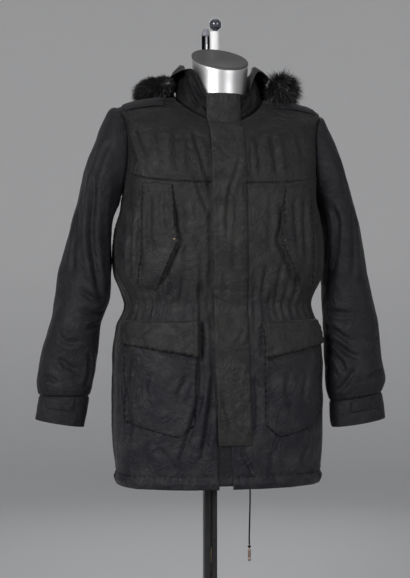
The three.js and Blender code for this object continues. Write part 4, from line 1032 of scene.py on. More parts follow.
# Node, kind, side, and the control points in lines from the top down
patches = {
    "pocketRight": ("pocket_right", "bag", -1, [
        [(-203, 970), (-135, 970), (-66, 970)], [(-206, 793), (-103, 762), (-69, 789)]]),
    "pocketLeft": ("pocket_left", "bag", 1, [
        [(74, 970), (140, 970), (202, 970)], [(75, 788), (108, 759), (204, 787)]]),
    "pocketFlapRight": ("pocket_flap_right", "flap", -1, [[(-202, 1000), (-54, 1001)], [(-209, 954), (-59, 927)]]),
    "pocketFlapLeft": ("pocket_flap_left", "flap", 1, [[(69, 998), (199, 1002)], [(76, 924), (209, 953)]]),
    "chestPocketRight": ("chest_pocket_right", "chest", -1, [
        [(-174, 1284), (-116, 1280)], [(-175, 1242), (-113, 1242)], [(-177, 1195), (-111, 1195)],
        [(-178, 1166), (-104, 1166)], [(-179, 1145), (-113, 1145)], [(-181, 1095), (-134, 1095)],
        [(-182, 1074), (-146, 1065)]]),
    "chestPocketLeft": ("chest_pocket_left", "chest", 1, [
        [(119, 1276), (179, 1282)], [(115, 1242), (180, 1242)], [(112, 1195), (182, 1195)],
        [(106, 1166), (183, 1166)], [(117, 1145), (183, 1145)], [(142, 1095), (184, 1095)],
        [(158, 1065), (185, 1072)]]),
}
for name, (node, kind, side, control) in patches.items():
    patchPiece(name, node, side, control, **patchKinds[kind])
print("patches made")

# Storm flap, sewn along its left edge and free along its right one, and the placket under it

collarFoot = 1418
hoodFrontOut = lambda z: 94 + (85 - 94) * (z - 1414.8) / (1473 - 1414.8) + 1.1


def onFrontAndHood(x, z):
    flat = onBody(*frontPlace(x, np.minimum(z, collarFoot)))
    out = hoodFrontOut(np.maximum(z, collarFoot))
    y = 14 - np.sqrt(np.maximum(out ** 2 - x ** 2, 1))
    upper = np.stack([x, y, np.asarray(z, float)], -1)
    share = smoothstep(collarFoot - 26, collarFoot + 8, z)[..., None]
    return flat * (1 - share) + upper * share


flapCreases = creasesOn(lambda *stops: onFrontLine(*stops, lift=4.5), [
    (3.2, 2.2, 0.3, 0, -36, 1412, -22, 1410, 4, 1399, 27, 1386),
    (6, 2.6, 0.6, 0.3, 29, 1352, 15, 1308, 1, 1268, -6, 1215, -4, 1150),
    (4.5, 1.8, 0.6, 0, -30, 1306, -18, 1318, -6, 1326), (4.5, 1.6, 0.6, 0, -24, 1262, -8, 1252, 4, 1264),
    (5, 1.3, 0.6, 0, -20, 1360, -6, 1340, 10, 1334), (7, 1.3, 0.5, 0, 12, 1190, 8, 1140, 14, 1090),
    (7, 1.4, 0.5, 0, -14, 1110, -6, 1060, -12, 1010), (5.5, 1.8, 0.6, 0, 34, 990, 20, 962, 2, 948),
    (6, 2.3, 0.6, 0.2, -16, 892, 2, 880, 22, 860, 38, 824), (6, 2, 0.6, 0, -16, 856, -5, 816, 5, 776),
    (5, 1.6, 0.6, 0, 38, 900, 32, 868, 36, 842), (5, 2.4, 0.6, 0, 8, 790, 24, 774, 42, 760),
], 0.9, 2.2)


def stormFlap(step=3.2):
    z = np.linspace(flapTop, flapFoot, int((flapTop - flapFoot) / step))[:, None]
    x = flapMiddle(z) + flapHalf * np.linspace(-1, 1, 26)[None, :]
    z = np.broadcast_to(z, x.shape)
    base = onFrontAndHood(x, z)
    normals = normalsOf(base)
    free, sewn, top, bottom = edgeDistances(base)
    relief = bodyRelief(base, normals) * smoothstep(0, 60, top) * 0.8
    relief += 4.4 + 2.4 * np.exp(-(free / 18) ** 2) - 2.0 * np.exp(-(sewn / 5) ** 2)
    relief += creased(base, normals, flapCreases) + 0.35 * np.exp(-((sewn - 10) / 3) ** 2)
    relief += puckers(sewn - 6, top, 15, 19.0, 0.7, 2) + puckers(free, top, 9, 27.0, 0.8, 5)
    net, normals = raised(base, normals, relief)
    clothPiece("stormFlap", "storm_flap", net, normals, flapCloth, thick=2.4)
    free, sewn, top, bottom = edgeDistances(net)
    stitchAlong(net, normals, sewn, (3.5, 9.5))
    stitchAlong(net, normals, free, (5.0,))
    stitchAlong(net, normals, bottom, (6.0,), across=True)


def underPlacket(step=6.0):
    z = np.linspace(1345, 662, int(683 / step))[:, None]
    x = rightEdge(z) - 16 + (leftEdge(z) - rightEdge(z) + 32) * np.linspace(0, 1, 14)[None, :]
    base = onBody(*frontPlace(x, np.broadcast_to(z, x.shape)))
    normals = normalsOf(base)
    left, right, top, bottom = edgeDistances(base)
    sunk = -3.0 + 1.0 * smoothstep(150, 40, bottom) - 0.6 * np.exp(-((bottom - 20) / 2.2) ** 2)
    net, normals = raised(base, normals, bodyRelief(base, normals) + sunk)
    clothPiece("underPlacket", "under_placket", net, normals, shellCloth, thick=1.2)
    stitchAlong(net, normals, edgeDistances(net)[3], (18.5, 22.0), across=True)


stormFlap()
underPlacket()
print("flap made")

# Shoulder straps

def onShoulder(side, out, y):
    seam = backColumns / 2 if side < 0 else bodyColumns + backColumns / 2
    out, y = np.broadcast_arrays(np.asarray(out, float), np.asarray(y, float))

    def columnAtY(r):
        return halved(out.shape, frontMiddle, seam, 22, lambda c: netAt(bodyNet, r, c)[..., 1] < y)[0]

    r = halved(out.shape, neckRow, 17.5, 18, lambda r: np.abs(netAt(bodyNet, r, columnAtY(r))[..., 0]) < out)[0]
    return onBody(r, columnAtY(r))


for name, node, side in (("strapRight", "shoulder_strap_right", -1), ("strapLeft", "shoulder_strap_left", 1)):
    outs = np.linspace(206, 121, 30)[:, None]
    ys = np.linspace(-37, 14, 18)[None, :]
    base = onShoulder(side, np.broadcast_to(outs, (30, 18)), np.broadcast_to(ys, (30, 18)))
    normals = turnedTo(normalsOf(base), 2, 1)
    left, right, outer, inner = edgeDistances(base)
    lift = 2.8 - 1.2 * np.exp(-(outer / 8) ** 2) + 0.8 * np.exp(-((outer - 45) / 30) ** 2)
    rim = np.minimum(left, right)
    lift = lift - 0.5 * np.exp(-((rim - 6) / 1.8) ** 2) + puckers(rim, outer, 9, 16.0, 0.4, 3)
    net = base + (bodyRelief(base, normals) + lift)[..., None] * normals
    facing = turnedTo(normalsOf(net), 2, 1)
    clothPiece(name, node, net, facing, shellCloth, thick=2.2)
    left, right, outer, inner = edgeDistances(net)
    for field in (left, right):
        stitchAlong(net, facing, field, (5.0,))

# Hood: a bag that hangs open behind the neck

# Turn from behind, then distance from the neck and height of five places from the root to the edge
hoodRows = np.array([
    (0, 94, 1493, 103, 1524, 140, 1420, 170, 1286, 200, 1440),
    (24, 94, 1491.6, 104, 1526, 150, 1420, 182, 1292, 200, 1440),
    (36, 94.4, 1490.2, 102, 1528, 156, 1428, 196, 1312, 198, 1442),
    (48, 95, 1488, 98, 1531, 134, 1486, 200, 1420, 163, 1449),
    (60, 95.5, 1485, 92, 1536, 114, 1514, 134, 1494, 139, 1474),
    (72, 96, 1482, 85, 1541, 99, 1520, 111, 1500, 122, 1500),
    (90, 96, 1478.2, 78, 1547, 86, 1530, 95, 1516, 103, 1500),
    (110, 95, 1468.5, 80, 1515, 79, 1542, 92, 1540, 104, 1522),
    (130, 94, 1448, 87, 1478, 83, 1500, 81, 1520, 82, 1534), (155, 94, 1426, 89, 1443, 86, 1456, 85, 1466, 84, 1475),
    (180, 94, 1414, 90, 1431, 88, 1446, 87, 1460, 85, 1473),
], float)
# The share of the hood's height that is left at two turns of its front, on the left side
leftFrontHeight = {132: 0.48, 144: 0.65}
# The fur's turn, distance from the neck, height and radius
furRows = np.array([
    (0, 200, 1484, 30), (30, 197, 1488, 30), (55, 176, 1498, 31), (75, 152, 1510, 33), (92, 141, 1512, 35),
    (104, 137, 1512, 30), (112, 135, 1512, 16),
], float)
neckMiddle = 14
furEnd = 112


# The fur's distance, height and radius; on the right side it lies nearer the neck, lower and thinner
def furAt(degrees):
    degrees = np.asarray(degrees, float)
    lies = np.where(degrees < 0, smoothstep(55, 92, -degrees), 0)
    turn = np.clip(np.abs(degrees), 0, furEnd)
    k = np.clip(np.searchsorted(furRows[:, 0], turn, side="right") - 1, 0, len(furRows) - 2)
    t = (turn - furRows[k, 0]) / (furRows[k + 1, 0] - furRows[k, 0])
    s = t * t * (3 - 2 * t)
    a, b = furRows[k], furRows[k + 1]
    z = a[..., 2] + (b[..., 2] - a[..., 2]) * s - 9 * lies
    radius = (a[..., 3] + (b[..., 3] - a[..., 3]) * t) * (1 - 0.25 * lies)
    return a[..., 1] + (b[..., 1] - a[..., 1]) * s - 11 * lies, z, radius


def roundNeck(degrees, out, z):
    angle = np.radians(degrees)
    return np.stack(np.broadcast_arrays(out * np.sin(angle), neckMiddle + out * np.cos(angle), z), -1)


def hoodNet(columns=150, courses=56):
    degrees = np.linspace(0, 360, columns, endpoint=False)
    places = np.arange(-24, 385, 12)
    turns = np.minimum(places % 360, -places % 360)
    coarse = np.stack([np.interp(turns, hoodRows[:, 0], hoodRows[:, k]) for k in range(1, 11)], -1)
    height = np.array([leftFrontHeight.get(p, 1) for p in places])
    for k in (3, 5, 7, 9):
        coarse[:, k] = coarse[:, 1] + (coarse[:, k] - coarse[:, 1]) * height
    out, z, radius = furAt(np.where(places % 360 > 180, -turns, turns))
    away = coarse[:, 8:10] - np.stack([out, z], -1)
    away *= ((radius + 2.0) / np.linalg.norm(away, axis=1))[:, None]
    met = turns <= furEnd
    coarse[met, 8:10] = (np.stack([out, z], -1) + away)[met]
    coarse[:, 1] += 0.8
    net = coarse.reshape(len(coarse), 5, 2)
    r = (degrees / 12 + 2)[None, :]
    course = np.linspace(0, 4, courses)[:, None]
    r, course, degrees = np.broadcast_arrays(r, course, degrees[None, :])
    flat = netAt(net, r, course, wrapped=False)
    return roundNeck(degrees, flat[..., 0], flat[..., 1])


base = hoodNet()
normals = normalsOf(base, True)


def onHood(*stops):
    rows, columns = base.shape[:2]
    return np.array([base[int(round(c / 4 * (rows - 1))), int(round((d % 360) / 360 * columns)) % columns]
                     for d, c in stops])


# Creases of the hood by degrees round the neck (180 in front, 90 on the left) and course from root to edge
hoodCreases = creasesOn(onHood, [
    (5.5, 3.2, 0.6, 0.3, 192, 0.7, 206, 1.3, 222, 2, 240, 2.7),
    (5, 2.8, 0.6, 0, 194, 1.9, 210, 2.4, 226, 3, 238, 3.6),
    (6, 3, 0.6, 0.2, 204, 0.4, 224, 0.9, 244, 1.3, 262, 1.7), (5.5, 2.2, 0.6, 0, 250, 0.6, 262, 1.5, 270, 2.6),
    (5.5, 3.2, 0.6, 0.3, 168, 0.7, 154, 1.4, 138, 2.1, 122, 2.8), (5, 2.6, 0.6, 0, 166, 2, 150, 2.6, 134, 3.2),
    (6, 2.8, 0.6, 0.2, 156, 0.4, 134, 0.9, 114, 1.4, 98, 1.8), (9, 4, 0.6, 0.2, 330, 2.4, 334, 3, 342, 3.5),
    (9, 4.2, 0.6, 0, 350, 2.2, 354, 2.9, 4, 3.5), (9, 3.8, 0.6, 0, 20, 2.3, 14, 2.9, 16, 3.5),
    (8, 3.2, 0.6, 0, 36, 2.3, 30, 2.9, 26, 3.4), (8, 3, 0.6, 0, 322, 3.3, 338, 3.15, 352, 3.3),
    (8, 3, 0.6, 0, 8, 3.4, 24, 3.2, 38, 3.4),
], 1, 1.7)
root = lengthsOf(base, 0)
edge = root[-1:] - root
around = np.broadcast_to(np.linspace(0, 700, base.shape[1]), root.shape)
relief = creased(base, normals, hoodCreases) * smoothstep(0, 20, root) * smoothstep(0, 14, edge)
relief += unevenness(base, 62, 2.0, 21) * smoothstep(0, 25, root) * smoothstep(0, 20, edge)
relief += unevenness(base, 28, 0.6, 22) * smoothstep(0, 12, root)
relief += puckers(root, around, 12, 15.0, 0.8, 3) * smoothstep(0, 5, root)
net, normals = raised(base, normals, relief, True)
clothPiece("hoodCloth", "hood", net, normals, hoodLook, thick=1.6, wrapped=True)
print("hood made")

# Fur of the hood's opening: a dark core and locks of hair that lean outwards and down

# Both ends hang a little; the right one also lies closer to the neck
def furShown(degrees):
    out, z, radius = furAt(degrees)
    right = smoothstep(60, 90, -np.asarray(degrees, float))
    left = smoothstep(55, 85, np.asarray(degrees, float))
    return out - 11 * right, z - 2 * right - 10 * left, radius


def furCore(count=72, sides=14):
    turns = np.linspace(-furEnd, furEnd, count)
    out, z, radius = furShown(turns)
    radius = radius * 0.6 * np.sqrt(np.clip((furEnd + 1 - np.abs(turns)) / 9, 0.02, 1))
    angle = np.linspace(0, 2 * math.pi, sides, endpoint=False)
    points = roundNeck(turns[:, None], out[:, None] + radius[:, None] * np.cos(angle),
                       z[:, None] + radius[:, None] * np.sin(angle))
    return points.reshape(-1, 3), closedTube(count, sides)


# Locks in each third and hairs in each lock, and the length of the hairs on either side and behind
hairs = {"locks": 1150, "perLock": 10, "left": 1.15, "right": 0.62, "back": 0.9}


# Each hair is a narrow tapering blade of a few steps; the hairs of a lock lean towards each other
def furHairs(low, high, seed):
    rng = np.random.default_rng(seed)
    points, faces = [], []
    steps = 4
    for _ in range(hairs["locks"]):
        turn = rng.uniform(low, high)
        angle = rng.uniform(0, 2 * math.pi)
        swing = rng.normal(0, 0.35, 3)
        size = rng.uniform(0.75, 1.2)
        for _ in range(hairs["perLock"]):
            t = turn + rng.normal(0, 1.1)
            a = angle + rng.normal(0, 0.16)
            out, z, radius = (float(v) for v in furShown(t))
            ends = max(0.25, min(1, (furEnd + 4 - abs(t)) / 14)) if abs(t) < furEnd + 3 else 0.25
            core = radius * 0.5 * ends
            theta = math.radians(t)
            outward = np.array([math.sin(theta), math.cos(theta), 0])
            along = np.array([math.cos(theta), -math.sin(theta), 0]) * (1 if t > 0 else -1)
            up = np.array([0, 0, 1.0])
            normal = math.cos(a) * outward + math.sin(a) * up
            start = np.array([0, neckMiddle, 0]) + outward * out + up * z + normal * core
            lean = normal * 0.9 + along * 0.5 + swing * 0.6 + rng.normal(0, 0.14, 3)
            lean += (outward * 0.3 - up * 0.3) * (t > 60)
            lean /= np.linalg.norm(lean)
            share = hairs["left"] if t > 60 else hairs["right"] if t < -50 else hairs["back"]
            length = radius * ends * size * rng.uniform(0.5, 0.86) * share
            bend = -up * 0.38 + swing * 0.5 + rng.normal(0, 0.1, 3)
            side = np.cross(lean, rng.normal(0, 1, 3))
            side *= rng.uniform(0.38, 0.66) / max(np.linalg.norm(side), 1e-6)
            first = len(points)
            for k in range(steps):
                s = k / steps
                p = start + lean * length * s + bend * length * s * s * 0.6
                w = side * (1 - s) ** 0.6
                points += [p - w, p + w]
            points.append(start + lean * length + bend * length * 0.6)
            for k in range(steps - 1):
                q = first + 2 * k
                faces.append((q, q + 1, q + 3, q + 2))
            q = first + 2 * (steps - 1)
            faces.append((q, q + 1, q + 2))
    return np.array(points), faces


furLook = mottledMaterial("blackFur", {"Roughness": 0.42, "Specular IOR Level": 0.5},
                          (55, (0.003, 0.003, 0.0035), (0.012, 0.012, 0.0135)), detail=3)
placed(meshPiece("furCore", *furCore()), "fur_trim", furLook)
for name, low, high, seed in (("furRight", -furEnd, -38, 5), ("furBack", -38, 38, 6), ("furLeft", 38, furEnd, 7)):
    placed(meshPiece(name, *furHairs(low, high, seed)), "fur_trim", furLook)
print("fur made")

# Cuff tabs, sewn down on the front of each cuff

cuffTabs = (("cuffTabRight", "cuff_tab_right", -1, rightCuff), ("cuffTabLeft", "cuff_tab_left", 1, leftCuff))
for name, node, side, rows in cuffTabs:
    down = np.linspace(0.2, 1, 12)[:, None]
    turns = np.linspace(0.9, 1.95, 20)[None, :]
    base = onSleeve(rows, side, down, turns)
    normals = turnedTo(normalsOf(base), 1, -1)
    first, last, upper, lower = edgeDistances(base)
    rim = np.minimum(np.minimum(first, last), np.minimum(upper, lower))
    lift = 3.4 - 1.2 * np.exp(-(rim / 2.2) ** 2) - 0.4 * np.exp(-((rim - 4.6) / 1.4) ** 2)
    net = base + (lift + unevenness(base, 30, 0.5, 31 + side))[..., None] * normals
    facing = turnedTo(normalsOf(net), 1, -1)
    clothPiece(name, node, net, facing, shellCloth, thick=2.0,
               allowance=1)
    first, last, upper, lower = edgeDistances(net)
    stitchAlong(net, facing, upper, (3.5,), across=True)
    stitchAlong(net, facing, lower, (3.5,), across=True)
print("cuff tabs made")

# Hard pieces: turned and drawn shapes with their edges eased

def finished(name, made, material, node, angle=35):
    bmesh.ops.recalc_face_normals(made, faces=made.faces)
    mesh = bpy.data.meshes.new(name)
    made.to_mesh(mesh)
    made.free()
    mesh.polygons.foreach_set("use_smooth", [True] * len(mesh.polygons))
    mesh.set_sharp_from_angle(angle=math.radians(angle))
    mesh.materials.append(material)
    return placed(linked(name, mesh), node)


# Points of a profile, from below, spun round an upright axis
def spun(profile, axis, steps):
    made = bmesh.new()
    line = [made.verts.new(point) for point in profile]
    edges = [made.edges.new(pair) for pair in zip(line, line[1:])]
    bmesh.ops.spin(made, geom=line + edges, cent=axis, axis=(0, 0, 1), angle=2 * math.pi, steps=steps,
                   use_merge=True)
    bmesh.ops.remove_doubles(made, verts=made.verts, dist=1e-6)
    return made


# A profile of (radius, height) spun at its place
def turned(name, profile, place, material, node, steps=64, angle=35):
    made = spun([metres((place[0] + r, place[1], z)) for r, z in profile], metres((*place, 0)), steps)
    return finished(name, made, material, node, angle)


# An outline drawn upwards, its level rims bevelled
def drawn(name, outline, low, high, ease, material, node):
    made = bmesh.new()
    face = made.faces.new([made.verts.new(metres((x, y, low))) for x, y in outline])
    raised = bmesh.ops.extrude_face_region(made, geom=[face])["geom"]
    top = [v for v in raised if isinstance(v, bmesh.types.BMVert)]
    bmesh.ops.translate(made, verts=top, vec=(0, 0, (high - low) / 1000))
    rims = [e for e in made.edges if abs(e.verts[0].co.z - e.verts[1].co.z) < 1e-6]
    bmesh.ops.bevel(made, geom=rims, offset=ease / 1000, segments=2, affect="EDGES", profile=0.5, material=-1)
    return finished(name, made, material, node)


steel = mottledMaterial("neckSteel", {"Metallic": 1}, (7, (0.55, 0.55, 0.56), (0.62, 0.62, 0.62)), (12, 0.42, 0.46))
capGrey = mottledMaterial("capGrey", {"Roughness": 0.5}, (18, (0.046, 0.046, 0.046), (0.066, 0.066, 0.065)),
                          detail=5)
blackPaint = mottledMaterial("blackPaint", {"Base Color": (0.006, 0.006, 0.007)}, grain=(40, 0.26, 0.36))
whiteBlock = mottledMaterial("whiteBlock", {"Base Color": (0.86, 0.86, 0.85)}, grain=(30, 0.3, 0.4))
glassKnob = mottledMaterial("glassKnob", {"Roughness": 0.06, "Coat Weight": 0.8, "Coat Roughness": 0.03},
                            (110, (0.012, 0.014, 0.02), (0.06, 0.062, 0.085)), detail=3, fine=0.6, distortion=1.5)
brass = mottledMaterial("agedBrass", {"Roughness": 0.36, "Metallic": 1},
                        (500, (0.13, 0.10, 0.065), (0.36, 0.28, 0.19)))
nickel = mottledMaterial("dullNickel", {"Roughness": 0.34, "Metallic": 1},
                         (400, (0.2, 0.2, 0.21), (0.36, 0.36, 0.37)))
darkForm = mottledMaterial("darkForm", {"Roughness": 0.75, "Specular IOR Level": 0.2},
                           (14, (0.005, 0.005, 0.0055), (0.008, 0.008, 0.0085)))

# The neck's level sections, slanted towards its top: height, radius, slant
neckSections = [
    (1452.2, 58, 0), (1470, 58, 0.15), (1486, 58, 0.3), (1504, 58.2, 0.52), (1522, 58.6, 0.75), (1534, 59.3, 0.88),
    (1545, 60, 1), (1552, 60.6, 1), (1556, 60.9, 1), (1557.4, 60.6, 1), (1557.6, 0.5, 1),
]
capSections = [(1557.6, 60.7, 1), (1558.6, 61.2, 1), (1560.2, 61.1, 1), (1561.6, 60, 1), (1562.0, 57.6, 1),
               (1561.5, 56, 1), (1561.2, 0.5, 1)]


def slanted(name, sections, material, node, sides=96):
    points, turns = [], np.linspace(0, 2 * math.pi, sides, endpoint=False)
    for z, radius, slant in sections:
        x, y = radius * np.cos(turns), radius * np.sin(turns)
        points.append(np.stack([4 + x, y, z + slant * (0.51 * y - 0.06 * x)], -1))
    made = bmesh.new()
    spots = [made.verts.new(p) for p in metres(np.concatenate(points))]
    for face in closedTube(len(sections), sides):
        made.faces.new([spots[k] for k in face])
    return finished(name, made, material, node)


slanted("neckPiece", neckSections, steel, "neck")
slanted("neckCap", capSections, capGrey, "neck_cap")

# Post and block behind the neck; the post has a painted reflection, bright along its middle and dark at its sides,
# and it has a pale cap
post = {"x": -14, "y": 82, "radius": 9, "foot": 1452, "top": 1625}
block = {"half": 10.5, "deep": 9, "gap": 0.2, "foot": 1452, "top": 1636}
postPlace = (post["x"], post["y"])
blockX = post["x"] + post["radius"] + block["gap"] + block["half"]
postPaintedReflection, tree, shader = newMaterial("postChrome", {"Roughness": 0.16, "Metallic": 1})
postLeft = float(metres((post["x"] - post["radius"], post["y"], 0))[0])
across = newNode(tree, "ShaderNodeSeparateXYZ", {"Vector": objectPlace(tree)}).outputs["X"]
# Painted reflection: bands across the post, dark at its sides and bright along its middle
paintedReflectionBands = newNode(tree, "ShaderNodeValToRGB", {
    "Fac": ranged(tree, across, 0, 1, postLeft, postLeft + post["radius"] / 500)})
dark, lit = (0.004, 0.004, 0.005, 1), (0.85, 0.85, 0.86, 1)
elements = paintedReflectionBands.color_ramp.elements
elements[0].position, elements[0].color = 0.36, dark
elements[1].position, elements[1].color = 0.42, lit
elements.new(0.62).color = lit
elements.new(0.68).color = dark
tree.links.new(paintedReflectionBands.outputs["Color"], shader.inputs["Base Color"])
turned("postPiece", [(0, post["foot"]), (post["radius"], post["foot"]), (post["radius"], post["top"] - 2),
                     (post["radius"] - 0.4, post["top"] - 0.5), (7, post["top"]), (0, post["top"])],
       postPlace, postPaintedReflection, "post", 48)
capLilac = mottledMaterial("postCap", {"Roughness": 0.45}, (60, (0.17, 0.165, 0.2), (0.25, 0.24, 0.28)))
turned("postTop", [(0, 1625.1), (8.2, 1625.1), (9, 1627), (8.9, 1632), (7.6, 1637), (5, 1640.6), (2.2, 1641.9),
                   (0, 1642)], postPlace, capLilac, "post", 40, angle=60)
turnsRound = np.linspace(0, 2 * math.pi, 48, endpoint=False)
blockOutline = np.stack([
    blockX + block["half"] * np.cos(turnsRound), post["y"] + block["deep"] * np.sin(turnsRound)], -1)
drawn("postBlock", blockOutline, block["foot"], block["top"], 1.0, whiteBlock, "post_block")
knobTurn = np.linspace(-1.15, math.pi / 2, 18)
knobShape = [(0, 1636.2), (5, 1636.2), (5, 1638.6)]
knobShape += [(14 * math.cos(a), 1651.8 + 13.9 * math.sin(a)) for a in knobTurn]
knobShape[-1] = (0, 1665.7)
turned("knobPiece", knobShape, (8, 82), glassKnob, "knob", 48, angle=60)

# Pole with a slot down its front, its socket and the base plate

pole = {"x": -4, "y": 82, "half": 14.3, "corner": 3.5, "slotHalf": 3, "slotDeep": 6, "foot": 12.2, "top": 799.8}
socket = {"half": 21.5, "top": 42}
stud = {"size": (0.0024, 0.0012, 0.034), "x": 1.2, "deep": 5.2, "z": 479}


def poleOutline():
    x0, y0, half, corner, slotHalf, slotDeep = (
        pole[key] for key in ("x", "y", "half", "corner", "slotHalf", "slotDeep"))
    front = y0 - half
    outline = [(x0 - slotHalf, front), (x0 - slotHalf, front + slotDeep), (x0 + slotHalf, front + slotDeep),
               (x0 + slotHalf, front)]
    for cx, cy, start in ((1, -1, -90), (1, 1, 0), (-1, 1, 90), (-1, -1, 180)):
        for k in range(6):
            a = math.radians(start + 18 * k)
            outline.append((x0 + cx * (half - corner) + corner * math.cos(a),
                            y0 + cy * (half - corner) + corner * math.sin(a)))
    return outline


drawn("polePiece", poleOutline(), pole["foot"], pole["top"], 0.5, blackPaint, "pole")
made = bmesh.new()
bmesh.ops.create_cube(made, size=1.0)
bmesh.ops.scale(made, vec=stud["size"], verts=made.verts)
bmesh.ops.translate(made, verts=made.verts,
                    vec=metres((pole["x"] + stud["x"], pole["y"] - pole["half"] + stud["deep"], stud["z"])))
bmesh.ops.bevel(made, geom=made.edges[:], offset=0.0003, segments=2, affect="EDGES", profile=0.5, material=-1)
finished("poleStud", made, brass, "pole")
socketOutline = [(pole["x"] + x * socket["half"], pole["y"] + y * socket["half"])
                 for x, y in ((-1, -1), (1, -1), (1, 1), (-1, 1))]
drawn("poleSocket", socketOutline, pole["foot"], socket["top"], 1.0, blackPaint, "pole_socket")
turned("basePlate", [(0, 0), (223, 0), (224.4, 0.6), (225, 2), (225, 10), (224.4, 11.4), (223, 12), (0, 12)],
       (0, 30), blackPaint, "base_plate", 128)
print("form made")

# Snaps, ring, knot and tip

def facingDisc(name, node, x, z):
    seat, foot = (onBody(*frontPlace(x, z), lift) for lift in (7.4, 0.0))
    facing = (seat - foot) / np.linalg.norm(seat - foot)
    profile = [(0, -1.6), (3.9, -1.6), (4.3, -1.1), (4.3, -0.5), (4.0, 0.0), (3.4, 0.1), (2.9, -0.15), (2.5, 0.15),
               (1.4, 0.55), (0, 0.7)]
    made = spun([(r / 1000, 0, h / 1000) for r, h in profile], (0, 0, 0), 40)
    turn = Vector((0, 0, 1)).rotation_difference(Vector(facing)).to_matrix().to_4x4()
    bmesh.ops.transform(made, matrix=turn, verts=made.verts)
    bmesh.ops.translate(made, vec=metres(seat), verts=made.verts)
    finished(name, made, brass, node)


facingDisc("snapRight", "snap_right", -112, 1167)
facingDisc("snapLeft", "snap_left", 114, 1167)

ring = {"turn": -106, "out": 99, "height": 1479, "radius": 6, "wire": 1.2, "steps": 48, "sides": 14}
ringTurn = math.radians(ring["turn"])
ringPoints, ringFaces = [], []
for r in range(ring["steps"]):
    for s in range(ring["sides"]):
        a, b = 2 * math.pi * r / ring["steps"], 2 * math.pi * s / ring["sides"]
        far, up = ring["radius"] + ring["wire"] * math.cos(b), ring["wire"] * math.sin(b)
        ringPoints.append((far * math.cos(a) * math.cos(ringTurn) + up * math.sin(ringTurn), far * math.sin(a),
                           up * math.cos(ringTurn) - far * math.cos(a) * math.sin(ringTurn)))
        across, along = (s + 1) % ring["sides"], (r + 1) % ring["steps"] * ring["sides"]
        ringFaces.append((r * ring["sides"] + s, along + s, along + across, r * ring["sides"] + across))
ringSeat = roundNeck(ring["turn"], ring["out"], ring["height"])
ringPiece = meshPiece("hoodRing", ringSeat + np.array(ringPoints), ringFaces)
placed(ringPiece, "hood_ring", nickel)

knotPlace = (cordX - 1.6, cordTop[1])
knotTurn = np.linspace(0, 2 * math.pi, 61)
knotPath = np.stack([
    knotPlace[0] + 0.8 * (np.sin(knotTurn) + 2 * np.sin(2 * knotTurn)),
    knotPlace[1] - 0.8 * np.sin(3 * knotTurn),
    537.4 + 0.8 * (np.cos(knotTurn) - 2 * np.cos(2 * knotTurn)),
], -1)
knotPiece = placed(tubeCurve("cordKnot", knotPath, 1.25), "cord_knot", darkThreadAndShade)
tipMetal = mottledMaterial("tipMetal", {"Roughness": 0.38, "Metallic": 1},
                           (400, (0.22, 0.16, 0.14), (0.38, 0.28, 0.23)))
tipProfile = [(0, 508), (2.2, 508), (2.7, 508.5), (3, 510), (3, 514), (2.6, 514.6), (2.6, 515.4), (3, 516), (3, 530),
              (2.7, 531.6), (2, 533.8), (0, 533.8)]
tipPiece = turned("cordTip", tipProfile, knotPlace, tipMetal, "cord_tip", 32)
print("small pieces made")

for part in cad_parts["torso"].material_slots:
    part.material = darkForm

# Threads, and among the dark ones the strips of painted seam shade

for kind, look in (("light", lightThread), ("dark", darkThreadAndShade)):
    placed(stitchesPiece(kind + "Stitches", stitchRuns[kind]), None, look)

placed(drawcord, "cord", darkThreadAndShade)

# Floor, backdrop and light

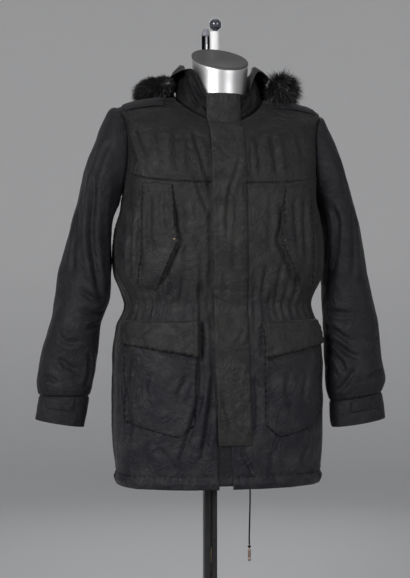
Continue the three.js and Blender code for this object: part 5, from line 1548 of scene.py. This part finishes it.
def sweep():
    radius, fillet, tall, sides = 5.2, 1.6, 4.2, 72
    profile = [(0.0, 0.0), (2.0, 0.0), (radius - fillet, 0.0)]
    profile += [(radius - fillet + fillet * math.sin(a), fillet - fillet * math.cos(a))
                for a in np.linspace(0.15, math.pi / 2, 9)]
    profile.append((radius, tall))
    points = []
    for r, z in profile[1:]:
        points += [(r * math.cos(t), r * math.sin(t), z) for t in np.linspace(0, 2 * math.pi, sides, endpoint=False)]
    faces = [face[:1] + face[:0:-1] for face in gridFaces(len(profile) - 1, sides, True)]
    points.append((0, 0, 0))
    faces += [(len(points) - 1, s, (s + 1) % sides) for s in range(sides)]
    mesh = bpy.data.meshes.new("sweep")
    mesh.from_pydata(points, [], faces)
    mesh.polygons.foreach_set("use_smooth", [True] * len(mesh.polygons))
    piece = linked("sweep", mesh)
    look, tree, shader = newMaterial("paleFloor", {"Roughness": 0.9})
    # The sweep turns paler with height, from the floor up the wall: painted light on the backdrop
    height = newNode(tree, "ShaderNodeSeparateXYZ", {"Vector": objectPlace(tree)}).outputs["Z"]
    pale = between(tree, ranged(tree, height, 0, 1, 0, 1.3), (0.56, 0.565, 0.58), (0.70, 0.70, 0.705))
    tree.links.new(pale, shader.inputs["Base Color"])
    mix = newNode(tree, "ShaderNodeMixShader", {  # clear from outside, for views from the back
        0: tree.nodes.new("ShaderNodeNewGeometry").outputs["Backfacing"], 1: shader.outputs["BSDF"],
        2: tree.nodes.new("ShaderNodeBsdfTransparent").outputs["BSDF"]})
    tree.links.new(mix.outputs["Shader"], tree.nodes["Material Output"].inputs["Surface"])
    mesh.materials.append(look)


sweep()


def areaLight(name, place, aim, size, power):
    data = bpy.data.lights.new(name, "AREA")
    data.shape = "RECTANGLE"
    data.size, data.size_y = size
    data.energy = power
    light = linked(name, data)
    light.location = place
    away = np.array(aim, float) - np.array(place, float)
    light.rotation_euler = (math.atan2(math.hypot(away[0], away[1]), -away[2]), 0,
                            math.atan2(away[1], away[0]) - math.pi / 2)


# Place, aim, size and power of each light
lights = {
    "keyLight": ((-2.4, -2.9, 2.3), (0, 0, 1.3), (1.2, 1.8), 108),
    "fillLight": ((1.75, -3.4, 2.2), (0, 0, 1.3), (1.2, 1.8), 42),
    "topLight": ((0.0, 0.1, 3.8), (0, 0, 1.2), (1.8, 1.8), 6),
    "backLight": ((0.6, 3.0, 2.4), (0, 0, 1.2), (1.6, 1.6), 20),
}
for name, values in lights.items():
    areaLight(name, *values)
world = bpy.data.worlds.new("world")
bpy.context.scene.world = world
world.use_nodes = True
world.node_tree.nodes["Background"].inputs["Color"].default_value = (1, 1, 1, 1)
world.node_tree.nodes["Background"].inputs["Strength"].default_value = 0.2
bpy.context.scene.view_settings.view_transform = "Standard"
